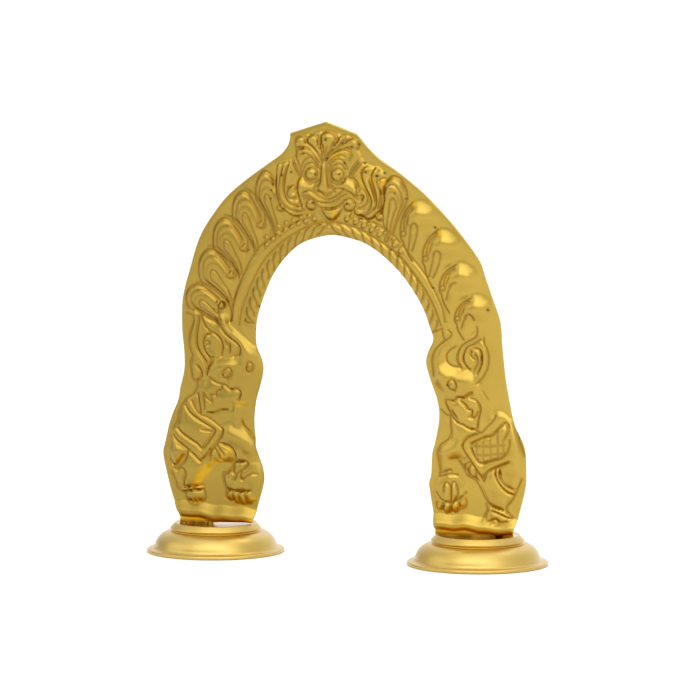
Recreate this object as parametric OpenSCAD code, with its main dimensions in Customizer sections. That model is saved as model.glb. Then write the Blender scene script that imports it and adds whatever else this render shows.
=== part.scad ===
// Prabhavali: an embossed brass arch that stands behind a small idol.
// One thin sheet, pressed over a die and trimmed by hand, is soldered by its two feet
// to the flat tops of two hollow spun pedestals. Nothing on it moves.
//
// Millimetres. +Z is up, +X runs from the left pedestal to the right one as seen from the
// front, and the front faces -Y. The origin is on the shelf, midway between the pedestals.

/* [Arch sheet] */
// Thickness of the brass sheet
sheet_t = 0.6; // [0.4:0.1:1.2]
// Distance between the axes of the two pedestals
leg_pitch = 112; // [104:1:130]
// Height of a leg from its foot to the springing of the crown
leg_h = 80; // [74:1:100]
// How far the throat of the crown stands in from the leg axis
throat_inset = 20; // [17:0.5:22]
// Depth of the crown's band, from the inner edge to the outer edge
band_w = 31; // [28:0.5:36]
// Height of the pointed crest above the band
crest_h = 15; // [10:0.5:20]
// Forward lean of the sheet, in degrees
lean = 6; // [0:0.5:9]
// How far the left foot's inner corner stands off its pedestal
foot_gap = 0.8; // [0:0.1:1.5]

/* [Embossing] */
// Height of the two rolls that follow the inner edge
roll_h = 0.9; // [0.5:0.1:2]
// Width of each of those rolls
roll_w = 5; // [3:0.1:5.5]
// Number of feathers on each side of the crown
feathers = 5; // [3:1:5]
// Height of a feather's eye, the highest of its three steps
feather_h = 2.6; // [1:0.1:3]
// Width of a feather
feather_w = 13.2; // [9:0.2:14]
// Height of the mask's nose, its highest point
mask_h = 3.2; // [1.5:0.1:4]
// Height of a beast's chest, its highest point
beast_h = 3.1; // [1.5:0.1:4]
// Height of the ground ledge that the beasts stand on
ledge_h = 2.8; // [1:0.1:3.5]
// Width of the ground ledge, up the leg
ledge_w = 6.4; // [4:0.2:8]
// Flat strip below the ledge, where the foot is soldered
foot_flat = 1.2; // [1:0.1:3]

/* [Pedestals] */
// Diameter over the rim
rim_d = 56; // [52:1:60]
// Height of the rolled rim
rim_h = 1.5; // [1:0.1:2.5]
// Radius of the dome's rounded shoulder
dome_r = 7.2; // [5:0.1:8]
// Diameter over the foot of the collar's flared skirt
collar_d = 37; // [36:0.2:40]
// Height of the collar that carries the foot
collar_h = 3.3; // [2.8:0.1:4.5]
// Diameter over the rounded lip of the collar
lip_d = 34; // [33.4:0.2:35]
// Radius of that lip
lip_r = 0.8; // [0.5:0.1:1]
// Depth of the groove between the dome and the collar
groove = 0.7; // [0.5:0.1:1]
// Wall of the spun pedestal
wall = 0.8; // [0.5:0.1:1]

/* [Solder] */
// Height of the solder fillet up the back of the sheet
fillet_h = 1.4; // [0.8:0.1:2]
// Height of the solder bead in front of the left foot
bead_h = 0.9; // [0.5:0.1:1]
// Length of a full seam along the foot
seam_l = 27; // [20:0.5:28]

/* [Hidden] */
$fn = 96;

gilt = [0.80, 0.62, 0.22];
satin_gilt = [0.84, 0.68, 0.30];
tin = [0.72, 0.71, 0.72];

leg_x = leg_pitch / 2;
crown_r = leg_x - throat_inset;
dome_top = rim_h + dome_r;
seat_z = dome_top + collar_h;
neck_r = collar_d / 2 - groove;

// The trimmed edge. Each row of a leg is [share of the leg's height, reach from the leg axis
// towards the opening, reach outwards]. The sheet was cut with shears, so the legs differ.
left_leg = [
    [0.05, 17.5, 15.5], [0.10, 18.5, 17.5], [0.15, 20, 19], [0.22, 22, 20.5],
    [0.30, 21.5, 21.5], [0.38, 19.5, 21.5], [0.45, 19, 20], [0.55, 19, 17],
    [0.65, 20.5, 13.5], [0.75, 22.5, 11.5], [0.82, 23, 11], [0.91, 21.5, 10.5]
];
right_leg = [
    [0.05, 17.5, 15.5], [0.10, 18, 17], [0.15, 19, 18], [0.22, 19.5, 20],
    [0.30, 18.5, 20.5], [0.38, 18, 20.5], [0.45, 16.5, 20], [0.55, 15, 16.5],
    [0.65, 15, 15], [0.75, 17.5, 13.5], [0.82, 19, 13], [0.91, 18.5, 12.5]
];
// Reach of the foot's bottom edge to either side of the leg axis
foot_in = 16;
foot_out = 15;
// Each row of the crown is [angle, trim of the inner edge, trim of the outer edge], where the
// angle runs from the left springing over the top to the right one.
crown_left = [
    [180, -1, -0.5], [165, -2, 0], [150, -2, 0.5], [138, -1.2, 2], [126, 0, 3], [115, 1, 4]
];
crown_right = [
    [66, 1, 2], [57, 0.3, 0], [45, 0, -1.3], [33, 0, -1], [21, 1, -0.8], [10, 2, 0], [0, 3, 1]
];
// The crest is a blunt gable: [angle, share of the crest's height].
crest = [[107, 0.35], [103.5, 0.58], [102, 0.84], [91, 1.02], [82, 0.75], [79.5, 0.6], [73, 0.28]];
crest_throat = 1.5;

function mix(a, b, t) = a + (b - a) * t;
function clamped(t) = min(1, max(0, t));
function leg_station(side, height, reach_in, reach_out) = [
    [side * (leg_x - reach_in), height],
    [side * (leg_x + reach_out), height]
];
function polar(angle, radius) = [radius * cos(angle), leg_h + radius * sin(angle)];
function crown_station(angle, trim_in, trim_out) = [
    polar(angle, crown_r + trim_in),
    polar(angle, crown_r + band_w + trim_out)
];
function leg_stations(side, leg) =
    let (t = foot_flat / (leg[0][0] * leg_h))
    concat(
        [leg_station(side, 0, foot_in, foot_out)],
        [leg_station(side, foot_flat, mix(foot_in, leg[0][1], t), mix(foot_out, leg[0][2], t))],
        [for (row = leg) leg_station(side, row[0] * leg_h, row[1], row[2])]
    );
function reversed(list) = [for (i = [len(list) - 1:-1:0]) list[i]];

// Every station is [inner edge point, outer edge point], from the left foot to the right foot.
stations = concat(
    leg_stations(-1, left_leg),
    [for (row = crown_left) crown_station(row[0], row[1], row[2])],
    [for (row = crest) crown_station(row[0], crest_throat, row[1] * crest_h)],
    [for (row = crown_right) crown_station(row[0], row[1], row[2])],
    reversed(leg_stations(1, right_leg))
);

// The front is a net of cells: columns along the arch at about this spacing, closer in the mask's
// crest, and rows across it. The hollow back has one cell for every two by two of the front.
column_pitch = 1.7;
crest_pitch = 1.3;
rows = 22;
back_step = 2;
function station_middle(i) = (stations[i][0] + stations[i][1]) / 2;
function station_gap(i) = norm(station_middle(i + 1) - station_middle(i));
function cells_between(i) =
    let (pitch = station_middle(i)[1] > leg_h + crown_r ? crest_pitch : column_pitch)
    back_step * max(1, round(station_gap(i) / (back_step * pitch)));
cross_lines = concat(
    [for (i = [0:len(stations) - 2])
        let (cells = cells_between(i))
        for (k = [0:cells - 1])
            [for (edge = [0, 1]) mix(stations[i][edge], stations[i + 1][edge], k / cells)]],
    [stations[len(stations) - 1]]
);
columns = len(cross_lines) - 1;

// Height of a pillow with rounded shoulders, where a point lies "depth" inside its edge.
function pillow(depth, shoulder, rise) =
    depth > 0 ? rise * sin(90 * min(1, depth / shoulder)) : 0;

// Depth of p inside a tapered limb between a and b, each [x, height, half width].
function limb_depth(p, a, b) =
    let (
        start = [a[0], a[1]],
        run = [b[0] - a[0], b[1] - a[1]],
        length = run * run,
        t = length > 0 ? clamped((p - start) * run / length) : 0
    )
    mix(a[2], b[2], t) - norm(p - start - t * run);

// Height of a form, [rise, shoulder, limb points]: a form with one limb point is a dome.
function form_height(p, form) =
    let (points = form[2], last = len(points) - 1)
    pillow(max([for (i = [0:max(0, last - 1)]) limb_depth(p, points[i], points[min(i + 1, last)])]), form[1], form[0]);
function tallest(p, forms) = max([for (form = forms) form_height(p, form)]);

// The beasts are drawn as forms on a leg of this height, with x from the leg axis towards the
// opening, and with the chest at this height.
drawn_leg = 80;
drawn_chest = 3.1;
left_beast = [
    // trunk, first head, second head and jaw
    [2, 2, [[7.5, 90, 1.8], [8, 83, 2.4], [13, 76.5, 2.6], [18, 71, 4]]],
    [2.5, 3, [[18, 68, 5.5], [17.5, 57, 5.5]]],
    [2.5, 2.6, [[3, 62.5, 4], [7.5, 62.5, 5.2]]],
    [2.4, 2.4, [[0, 51, 5], [11, 52, 2.6]]],
    // back, cloth and folded arm
    [1.8, 2, [[-4, 55, 3], [-9, 47, 4], [-14, 40, 4], [-15, 32, 4.5]]],
    [2.1, 2.6, [[-8, 42, 4.5], [-4, 36, 5], [-9, 36, 4]]],
    [2.7, 2.1, [[-9.5, 49.5, 2], [-2.5, 42.5, 2.1], [3.5, 38.3, 2.1], [-3.8, 28, 2.1], [-16, 37, 2]]],
    // chest, fore leg and fore foot
    [3.1, 5, [[12, 46, 3.5], [11.5, 39, 6], [14.5, 31, 6]]],
    [2.4, 3, [[15, 29, 5], [15.5, 23, 5.5]]],
    [2.6, 3, [[13, 18, 8.2], [12, 13, 6.5]]],
    // hip, haunch, thigh, shank and hind foot
    [2.2, 1.6, [[2, 29, 3.4], [7, 29, 3.2]]],
    [2.6, 3, [[-14.5, 29, 4.2]]],
    [2.7, 4, [[-4.5, 26.5, 3.6], [-10, 17.5, 3.4]]],
    [2.3, 1.8, [[-17.6, 22, 1.8], [-13.5, 13.5, 1.8]]],
    [2.5, 1.8, [[-10, 10, 2.8], [-6.5, 10.2, 2.8]]],
    // plumes and ear behind the heads
    [1.5, 1.5, [[-8, 88, 1.5], [-4.5, 85, 1.5], [-6.3, 75, 1.5], [-2, 65, 1.5]]],
    [1.4, 1.5, [[-1, 84, 1.5], [6, 78, 1.5], [8.5, 70.5, 2]]],
    [1.3, 1.5, [[0.5, 76, 1.3], [0, 72, 2], [4, 69, 2]]],
    [1.5, 1.6, [[-6, 65.5, 2], [-5, 61, 2.3]]]
];
right_beast = [
    // trunk, head, jaw, cheek and neck
    [1.8, 2, [[10.5, 79.5, 1.8], [12.5, 75, 2.4], [14.5, 70, 3]]],
    [2.6, 3, [[12, 63, 5.5], [6, 61, 6], [3, 60.5, 4]]],
    [2.3, 2.2, [[8, 50.5, 3], [4.5, 48.5, 3.8], [0, 44.5, 2.2]]],
    [2.1, 2, [[0, 51, 3.4]]],
    [1.5, 2, [[-3, 56, 3.5], [-7, 48, 4], [-4, 44, 4]]],
    // chest, fore leg and fore foot
    [3.1, 4.5, [[6, 42.5, 4.5], [9.5, 35, 6], [12, 29, 4]]],
    [2, 2, [[12.5, 27, 3], [12, 22, 3.5]]],
    [2.4, 3.2, [[10.4, 16, 7.2]]],
    // shoulder, cloth, folded arm and hand
    [2.7, 4, [[-11, 47, 3], [-16.5, 40, 3.6], [-18, 31, 4], [-16, 23, 4]]],
    [2, 1.8, [[-2.5, 33.5, 4], [-10, 37.5, 5.5]]],
    [2.7, 2.1, [[-8.5, 46, 2], [-3, 39.5, 2.1], [3.2, 36, 2.1], [-3, 25.7, 2.1], [-15, 32, 2]]],
    [2.3, 1.8, [[4.5, 28, 2.2], [-0.5, 24, 2]]],
    // thigh and hind foot
    [2.5, 3.6, [[-6.5, 22, 4], [-9, 14.5, 4]]],
    [2.4, 2.4, [[-6.5, 6.8, 3.2], [-13, 5.5, 2.2]]],
    // curls behind the head
    [1.3, 1.3, [[-1.5, 80, 1.3], [4.7, 73.5, 1.3], [4.5, 67, 1.6]]],
    [1.4, 1.5, [[-4.5, 77, 1.5], [-5.8, 71, 1.5], [-2.8, 63, 1.5]]],
    [1.3, 1.5, [[-1, 72, 2], [-2.2, 67, 2]]]
];
function beast_relief(p) =
    let (drawn = [leg_x - abs(p[0]), p[1] * drawn_leg / leg_h])
    beast_h / drawn_chest * tallest(drawn, p[0] < 0 ? left_beast : right_beast);

// The mask, with x from the middle and heights above the springing of a crown of this radius.
drawn_crown = 36;
drawn_nose = 3.2;
mask = [
    // face, and the ground of the two manes
    [1, 3, [[-1.5, 60, 13]]],
    [0.8, 1.5, [[-19, 62, 4.5], [-18, 51, 5.5]]],
    [0.8, 1.5, [[18, 61, 4.5], [16, 50, 6]]],
    // five plumes
    [2.4, 2.2, [[-3, 68, 1], [-12, 75, 2.5]]],
    [2.4, 2.2, [[-2.8, 69, 1], [-7.3, 76.3, 2.3]]],
    [3, 2.8, [[-2, 69, 1], [-0.7, 76.3, 3.2]]],
    [2.4, 2.2, [[-1, 69, 1], [4.8, 75.8, 2.2]]],
    [2.4, 2.2, [[0, 69.5, 1], [10.3, 74.6, 2.4]]],
    // brows, eyes, nose and cheeks
    [2.5, 1.7, [[-13, 70.3, 1.7], [-10, 70.6, 1.7], [-5.3, 67, 1.7]]],
    [2.5, 1.7, [[0.4, 67.5, 1.7], [4, 70.5, 1.7], [8.5, 69.5, 1.7]]],
    [3, 2.6, [[-8.4, 61.8, 2.9]]],
    [3, 2.6, [[2.9, 61.8, 3]]],
    [3.6, 2.8, [[-2.6, 65.5, 1.2], [-2.6, 56.5, 3]]],
    [2.5, 2.6, [[-11.3, 56.6, 3]]],
    [2.5, 2.6, [[5, 57, 2.5], [9, 56, 2.8]]],
    // upper lip, its curls, and the tongue
    [2.2, 1.7, [[-11, 53.4, 1.5], [-2.5, 51.3, 1.7], [6.4, 54, 1.5]]],
    [2.8, 2.4, [[-8.4, 49.4, 2.6]]],
    [2.8, 2.4, [[7.2, 49.6, 2.8]]],
    [2.6, 2, [[-0.7, 48.2, 3.3], [-0.7, 44.6, 1.4]]],
    // strands and curls of the left mane, then the right one
    [2.2, 1.8, [[-20.8, 66.5, 1.6], [-22.8, 56, 1.8], [-19.5, 48, 1.8], [-12, 46.6, 1.6]]],
    [2.2, 1.8, [[-16.6, 67, 1.6], [-18.6, 56, 1.8], [-16.6, 51, 1.8]]],
    [2.2, 1.8, [[14.4, 65, 1.6], [17, 54, 1.8], [15, 48.5, 1.8], [11, 46.6, 1.6]]],
    [2.4, 1.8, [[19.5, 64, 1.8], [21, 53, 1.9], [17.5, 45.3, 1.9]]],
    [2.1, 2, [[12, 56, 1.8], [12.5, 51, 1.8]]],
    [2.1, 2.2, [[8.8, 61, 1.2], [12, 67.5, 2.3]]]
];
function mask_relief(p) = mask_h / drawn_nose * tallest([p[0], p[1] - leg_h + drawn_crown - crown_r], mask);

// Feathers hang round the crown at an even pitch. Each has a base corner, a bud and a top, given
// as [angle on from the base corner, reach from the inner edge].
feather_first = 58.5;
feather_pitch = 13.2;
feather_corner = [0, 25];
feather_bud = [7.5, 14.3];
feather_top = [10, 29];
// Each feather steps up in three drops, [rise, shoulder, head and tail], where head and tail are
// [share of the way from corner to bud, share of the way up, share of the feather's width].
drops = [
    [1.4, 3.4, [[0.5, 0.42, 0.46], [0.64, -0.95, 0.12]]],
    [0.7, 2.6, [[0.55, 0.22, 0.34], [0.66, -0.9, 0.1]]],
    [0.5, 1.6, [[0.52, 0.08, 0.18], [0.7, -0.8, 0.1]]]
];
drawn_eye = 2.6;
bud_rise = 2.2;
bud_r = 2.2;
function feather_place(angle, anchor) = polar(angle + anchor[0], crown_r + anchor[1]);
function one_feather(p, angle) =
    let (
        corner = feather_place(angle, feather_corner),
        bud = feather_place(angle, feather_bud),
        rise = feather_place(angle, feather_top) - (corner + bud) / 2,
        in_place = [for (drop = drops) [drop[0], drop[1], [for (end = drop[2])
            let (spot = corner + end[0] * (bud - corner) + end[1] * rise)
            [spot[0], spot[1], end[2] * feather_w]]]]
    )
    max(
        form_height(p, in_place[0]) + form_height(p, in_place[1]) + form_height(p, in_place[2]),
        form_height(p, [bud_rise, bud_r, [[bud[0], bud[1], bud_r]]])
    );
function feather_relief(p) =
    let (mirrored = [abs(p[0]), p[1]])
    feather_h / drawn_eye * max([for (i = [0:feathers - 1]) one_feather(mirrored, feather_first - i * feather_pitch)]);

// Height of a half-round roll whose middle lies at distance "middle" when p is at distance d.
function roll(d, middle, width, height) =
    let (q = 2 * (d - middle) / width)
    abs(q) < 1 ? height * sqrt(1 - q * q) : 0;

// The two rolls run beside the inner edge of the crown and die out at the springing.
roll_edge = 0.5;
roll_fade = 5;
function roll_relief(p, from_inner) =
    clamped((p[1] - leg_h) / roll_fade) * max(
        roll(from_inner, roll_edge + roll_w / 2, roll_w, roll_h),
        roll(from_inner, roll_edge + 1.5 * roll_w, roll_w, roll_h)
    );

// The ground ledge: a half-round roll across the leg, closed before it reaches either edge.
ledge_margin = 0.5;
function ledge_relief(p) =
    let (u = (abs(p[0]) - leg_x) / (foot_in - ledge_margin))
    abs(u) < 1 ? sqrt(sqrt(1 - u * u)) * roll(p[1], foot_flat + ledge_w / 2, ledge_w, ledge_h) : 0;

// A plain border stays flat along the outer trimmed edge.
border_w = 1.5;
function relief(p, from_inner, from_outer) =
    let (above_ground = p[1] > foot_flat + ledge_w / 2, in_crown = p[1] > leg_h)
    max(
        ledge_relief(p),
        roll_relief(p, from_inner),
        clamped(from_outer / border_w) * max(
            above_ground ? beast_relief(p) : 0,
            in_crown ? feather_relief(p) : 0,
            in_crown ? mask_relief(p) : 0
        )
    );

// The left foot curls off its pedestal from its middle to its inner corner.
gap_fade = 3;
function foot_lift(p) =
    foot_gap * clamped((p[0] + leg_x) / foot_in) * clamped(1 - p[1] / gap_fade) * (p[0] < 0 ? 1 : 0);

struck = [for (line = cross_lines)
    let (width = norm(line[1] - line[0]))
    [for (row = [0:rows])
        let (t = row / rows, p = mix(line[0], line[1], t))
        [p[0], p[1], relief(p, t * width, (1 - t) * width)]]];

// Sheet that is pressed over a die rounds off what is narrow, but the strip under the ledge stays flat.
// Each corner takes the mean of itself and the corners round it, where the nearer ones count more.
around = [for (across = [-1:1], up = [-1:1]) [across, up]];
weights = [for (step = around) 1 / (1 + abs(step[0])) / (1 + abs(step[1]))];
function struck_height(c, r) = struck[min(columns, max(0, c))][min(rows, max(0, r))][2];
function rounded_off(c, r) =
    [for (step = around) struck_height(c + step[0], r + step[1])] * weights / (weights * [for (w = weights) 1]);
net = [for (c = [0:columns])
    [for (r = [0:rows])
        let (p = struck[c][r])
        [p[0], p[1] + foot_lift(p), p[1] > foot_flat ? rounded_off(c, r) : 0]]];

// The back follows the relief at its own cell corners, and draws back where a front corner midway
// to a neighbour lies so much lower that less than half the sheet would be left there.
function in_net(c, r) = c >= 0 && c <= columns && r >= 0 && r <= rows;
function back_height(c, r) =
    let (own = net[c][r][2])
    own - max(0, max([for (step = around)
        let (far_c = c + back_step * step[0], far_r = r + back_step * step[1])
        in_net(far_c, far_r) ?
            (own + net[far_c][far_r][2]) / 2 - net[c + step[0]][r + step[1]][2] - sheet_t / 2 : 0]));

// The lean shears the sheet forward, so its foot stays level.
function surface_point(spot, offset, height) = [spot[0], offset - height - spot[1] * tan(lean), seat_z + spot[1]];

// Two triangles for each cell. On the front the fold follows the higher diagonal, so that ribs run on.
function cell_faces(wide, across, id, folds) =
    [for (c = [0:wide - 1], r = [0:across - 1])
        let (a = id(c, r), b = id(c + 1, r), d = id(c, r + 1), e = id(c + 1, r + 1))
        each folds(c, r) ? [[a, e, b], [a, d, e]] : [[a, d, b], [b, d, e]]];
function higher_fold(c, r) =
    net[c][r][2] + net[c + 1][r + 1][2] >= net[c + 1][r][2] + net[c][r + 1][2];
function border_ids(wide, across, id) = concat(
    [for (c = [0:wide - 1]) id(c, 0)],
    [for (r = [0:across - 1]) id(wide, r)],
    [for (c = [wide:-1:1]) id(c, across)],
    [for (r = [across:-1:1]) id(0, r)]
);

module arch_sheet() {
    back_columns = columns / back_step;
    back_rows = rows / back_step;
    front_count = (columns + 1) * (rows + 1);
    front_id = function(c, r) c * (rows + 1) + r;
    back_id = function(c, r) front_count + c * (back_rows + 1) + r;
    front = [for (c = [0:columns], r = [0:rows]) surface_point(net[c][r], -sheet_t / 2, net[c][r][2])];
    back = [for (c = [0:back_step:columns], r = [0:back_step:rows])
        surface_point(net[c][r], sheet_t / 2, back_height(c, r))];
    front_edge = border_ids(columns, rows, front_id);
    back_edge = border_ids(back_columns, back_rows, back_id);
    edge_faces = [for (k = [0:len(back_edge) - 1])
        let (
            a = front_edge[back_step * k],
            b = front_edge[back_step * k + 1],
            c = front_edge[back_step * (k + 1) % len(front_edge)],
            d = back_edge[k],
            e = back_edge[(k + 1) % len(back_edge)]
        )
        each [[a, b, d], [b, e, d], [b, c, e]]];
    faces = concat(
        cell_faces(columns, rows, front_id, function(c, r) higher_fold(c, r)),
        [for (face = cell_faces(back_columns, back_rows, back_id, function(c, r) true)) reversed(face)],
        edge_faces
    );
    color(gilt) polyhedron(concat(front, back), faces);
}

// The collar's flared skirt runs straight from its rounded lip to its rounded foot.
skirt_r = 0.45;
groove_h = 0.65;
lip_at = [lip_d / 2 - lip_r, seat_z - lip_r];
skirt_at = [collar_d / 2 - skirt_r, dome_top + groove_h + skirt_r];
skirt_run = skirt_at - lip_at;
skirt_normal = atan2(skirt_run[1], skirt_run[0]) + acos((lip_r - skirt_r) / norm(skirt_run));
skirt_away = [cos(skirt_normal), sin(skirt_normal)];

module collar_section() {
    translate(lip_at) circle(lip_r);
    translate(skirt_at) circle(skirt_r);
    polygon([
        [0, rim_h], [neck_r, rim_h], [neck_r, skirt_at[1] - skirt_r], [skirt_at[0], skirt_at[1] - skirt_r],
        skirt_at + skirt_r * skirt_away, lip_at + lip_r * skirt_away, [lip_at[0], seat_z], [0, seat_z]
    ]);
}

module dome_section(skin) {
    square([neck_r + dome_r - skin, rim_h]);
    intersection() {
        translate([neck_r, rim_h]) circle(dome_r - skin);
        translate([0, rim_h]) square([rim_d, dome_r]);
    }
    square([neck_r - skin, dome_top - skin]);
}

module rim_section() {
    square([rim_d / 2 - rim_h / 2, rim_h]);
    translate([rim_d / 2 - rim_h / 2, rim_h / 2]) circle(rim_h / 2);
}

// The hollow follows the outside one wall away, also under the flare of the collar.
module hollow_section() {
    dome_section(wall);
    polygon([
        [0, 0], [neck_r - wall, 0], [neck_r - wall, skirt_at[1] - skirt_r],
        [lip_at[0] - lip_r / 2, seat_z - wall], [0, seat_z - wall]
    ]);
}

module pedestal() {
    rotate_extrude() difference() {
        union() {
            dome_section(0);
            collar_section();
            rim_section();
        }
        hollow_section();
    }
}

module left_pedestal() {
    color(satin_gilt) translate([-leg_x, 0, 0]) pedestal();
}

module right_pedestal() {
    color(satin_gilt) translate([leg_x, 0, 0]) pedestal();
}

// A hollow-faced fillet of solder between the sheet and the pedestal's top, from one place along
// the foot to another. facing is -1 in front of the sheet and 1 behind it.
fillet_hollow = 0.3;
module solder_fillet(facing, from, to, height) {
    face_y = facing * sheet_t / 2;
    tip_y = face_y - height * tan(lean);
    toe_y = face_y + facing * height;
    translate([from, 0, seat_z]) rotate([90, 0, 90]) linear_extrude(to - from)
        polygon([
            [face_y, 0],
            [toe_y, 0],
            [mix(face_y, toe_y, fillet_hollow), fillet_hollow * height],
            [tip_y, height]
        ]);
}

// The left foot is held only by its outer half, with solder on both sides of the sheet.
held_end = -2;
module left_solder_seam() {
    color(tin) translate([-leg_x, 0, 0]) {
        solder_fillet(-1, -seam_l / 2, held_end, bead_h);
        solder_fillet(1, -seam_l / 2, held_end, fillet_h);
    }
}

module right_solder_seam() {
    color(tin) translate([leg_x, 0, 0]) solder_fillet(1, -seam_l / 2, seam_l / 2, fillet_h);
}

arch_sheet();
left_pedestal();
right_pedestal();
left_solder_seam();
right_solder_seam();
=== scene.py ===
import math
import random
import bpy
import numpy as np
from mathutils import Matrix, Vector


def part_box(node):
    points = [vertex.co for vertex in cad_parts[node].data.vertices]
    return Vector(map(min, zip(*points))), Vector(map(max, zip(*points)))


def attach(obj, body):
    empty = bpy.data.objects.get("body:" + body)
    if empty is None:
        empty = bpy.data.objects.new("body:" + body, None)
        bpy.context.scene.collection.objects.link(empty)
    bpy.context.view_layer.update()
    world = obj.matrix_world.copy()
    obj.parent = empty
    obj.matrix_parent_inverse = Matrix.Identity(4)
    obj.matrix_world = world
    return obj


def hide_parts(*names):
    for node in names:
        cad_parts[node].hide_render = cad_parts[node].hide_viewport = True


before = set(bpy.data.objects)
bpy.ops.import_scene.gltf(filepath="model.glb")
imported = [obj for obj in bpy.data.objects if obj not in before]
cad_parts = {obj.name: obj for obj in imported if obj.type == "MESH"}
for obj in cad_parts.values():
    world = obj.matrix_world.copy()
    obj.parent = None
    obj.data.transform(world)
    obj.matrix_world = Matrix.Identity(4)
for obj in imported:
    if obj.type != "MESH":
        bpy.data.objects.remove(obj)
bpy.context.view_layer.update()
scene = bpy.context.scene
mm = 0.001
print("frame loaded:", ", ".join(sorted(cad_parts)))

# Camera, fitted to the two round pedestals in the 694 x 700 picture
shot = {
    "azimuth": 20.0,        # degrees, towards the right pedestal
    "elevation": 4.3,
    "distance": 1260.0,     # mm from the target
    "target": (1.0, 0.0, 83.7),
    "focal": 3150.0,        # in picture pixels
    "width": 694,
    "middle": (347.0, 350.0),
    "sensor": 36.0,         # mm wide
    "farthest": 50.0,       # metres that it sees
}


def shotAxes():
    turn = math.radians(shot["azimuth"])
    climb = math.radians(shot["elevation"])
    back = np.array([math.sin(turn) * math.cos(climb), -math.cos(turn) * math.cos(climb), math.sin(climb)])
    right = np.array([math.cos(turn), math.sin(turn), 0.0])
    eye = np.array(shot["target"]) + shot["distance"] * back
    return eye, -back, right, np.cross(right, -back)


def placeCamera():
    eye, ahead, right, up = shotAxes()
    bpy.ops.object.camera_add(location=tuple(eye * mm))
    camera = bpy.context.object
    camera.name = "camera"
    camera.rotation_euler = Vector(ahead).to_track_quat("-Z", "Y").to_euler()
    camera.data.sensor_fit = "HORIZONTAL"
    camera.data.sensor_width = shot["sensor"]
    camera.data.lens = shot["focal"] * shot["sensor"] / shot["width"]
    camera.data.clip_end = shot["farthest"]
    scene.camera = camera


placeCamera()
print("camera placed")

# Floor that sweeps up into a backdrop, and soft boxes, in metres
studio = {
    "floorHalf": 3.2,
    "wallY": 2.4,
    "wallTop": 3.4,
    "sweepRadius": 0.8,
    "sweepSegments": 24,
    "near": 0.01,               # this close counts as on the floor or the wall
    "paper": (0.9, 0.9, 0.9, 1.0),
    "paperRoughness": 0.9,
    "paperSheen": 0.1,
    "skyLeft": (0.48, 0.48, 0.48, 1.0),
    "skyRight": (0.92, 0.92, 0.92, 1.0),
    "brighterWay": (1.0, 0.0, 1.0),
    "skySpan": (-0.8, 0.3),     # along that way, from the duller air to the brighter
}
softBoxes = {
    # name: place, aim, width, height, brightness
    "overheadBox": ((0.25, -0.35, 1.5), (0.0, 0.1, 0.0), 1.6, 1.6, 0.7),
    "frontBox": ((0.25, -1.8, 1.5), (0.0, 0.0, 0.05), 2.6, 1.5, 1.25),
    "leftBox": ((-1.35, -0.7, 0.65), (0.0, 0.0, 0.08), 1.2, 1.1, 0.75),
    "rightBox": ((1.15, -1.0, 0.6), (0.0, 0.0, 0.08), 0.9, 0.9, 1.0),
    "backBox": ((0.0, 1.2, 2.6), (0.0, 2.4, 0.6), 3.0, 0.8, 2.4),
}
# The sockets of a mix node that take two colours and give one
mixFirst, mixSecond, mixResult = 6, 7, 2


def deselectAll():
    if bpy.context.object and bpy.context.object.mode != "OBJECT":
        bpy.ops.object.mode_set(mode="OBJECT")
    bpy.ops.object.select_all(action="DESELECT")


def selectEdges(piece, chosen):
    # the edges whose two ends are both chosen, ready to edit
    bpy.ops.object.mode_set(mode="OBJECT")
    for edge in piece.data.edges:
        edge.select = all(chosen(piece.data.vertices[v].co) for v in edge.vertices)
    bpy.ops.object.mode_set(mode="EDIT")


def paperFinish():
    finish = bpy.data.materials.new("studioPaper")
    finish.use_nodes = True
    shader = finish.node_tree.nodes["Principled BSDF"]
    shader.inputs["Base Color"].default_value = studio["paper"]
    shader.inputs["Roughness"].default_value = studio["paperRoughness"]
    shader.inputs["Specular IOR Level"].default_value = studio["paperSheen"]
    return finish


def makeSweep():
    deselectAll()
    half = studio["floorHalf"]
    atWall = studio["wallY"] - studio["near"]
    bpy.ops.mesh.primitive_plane_add(size=2 * half, location=(0, studio["wallY"] - half, 0))
    sweep = bpy.context.object
    sweep.name = "paperSweep"
    bpy.ops.object.transform_apply(location=True)
    bpy.ops.object.mode_set(mode="EDIT")
    bpy.ops.mesh.select_all(action="DESELECT")
    selectEdges(sweep, lambda spot: spot.y > atWall)
    bpy.ops.mesh.select_mode(type="EDGE")
    bpy.ops.mesh.extrude_region_move(TRANSFORM_OT_translate={"value": (0, 0, studio["wallTop"])})
    selectEdges(sweep, lambda spot: spot.y > atWall and spot.z < studio["near"])
    bpy.ops.mesh.bevel(offset=studio["sweepRadius"], segments=studio["sweepSegments"])
    bpy.ops.object.mode_set(mode="OBJECT")
    bpy.ops.object.shade_smooth()
    sweep.data.materials.append(paperFinish())


def makeLights():
    for name, (place, aim, width, height, brightness) in softBoxes.items():
        deselectAll()
        bpy.ops.object.light_add(type="AREA", location=place)
        box = bpy.context.object
        box.name = name
        box.rotation_euler = (Vector(aim) - Vector(place)).to_track_quat("-Z", "Y").to_euler()
        box.data.shape = "RECTANGLE"
        box.data.size = width
        box.data.size_y = height
        box.data.energy = brightness * math.pi * width * height


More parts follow.
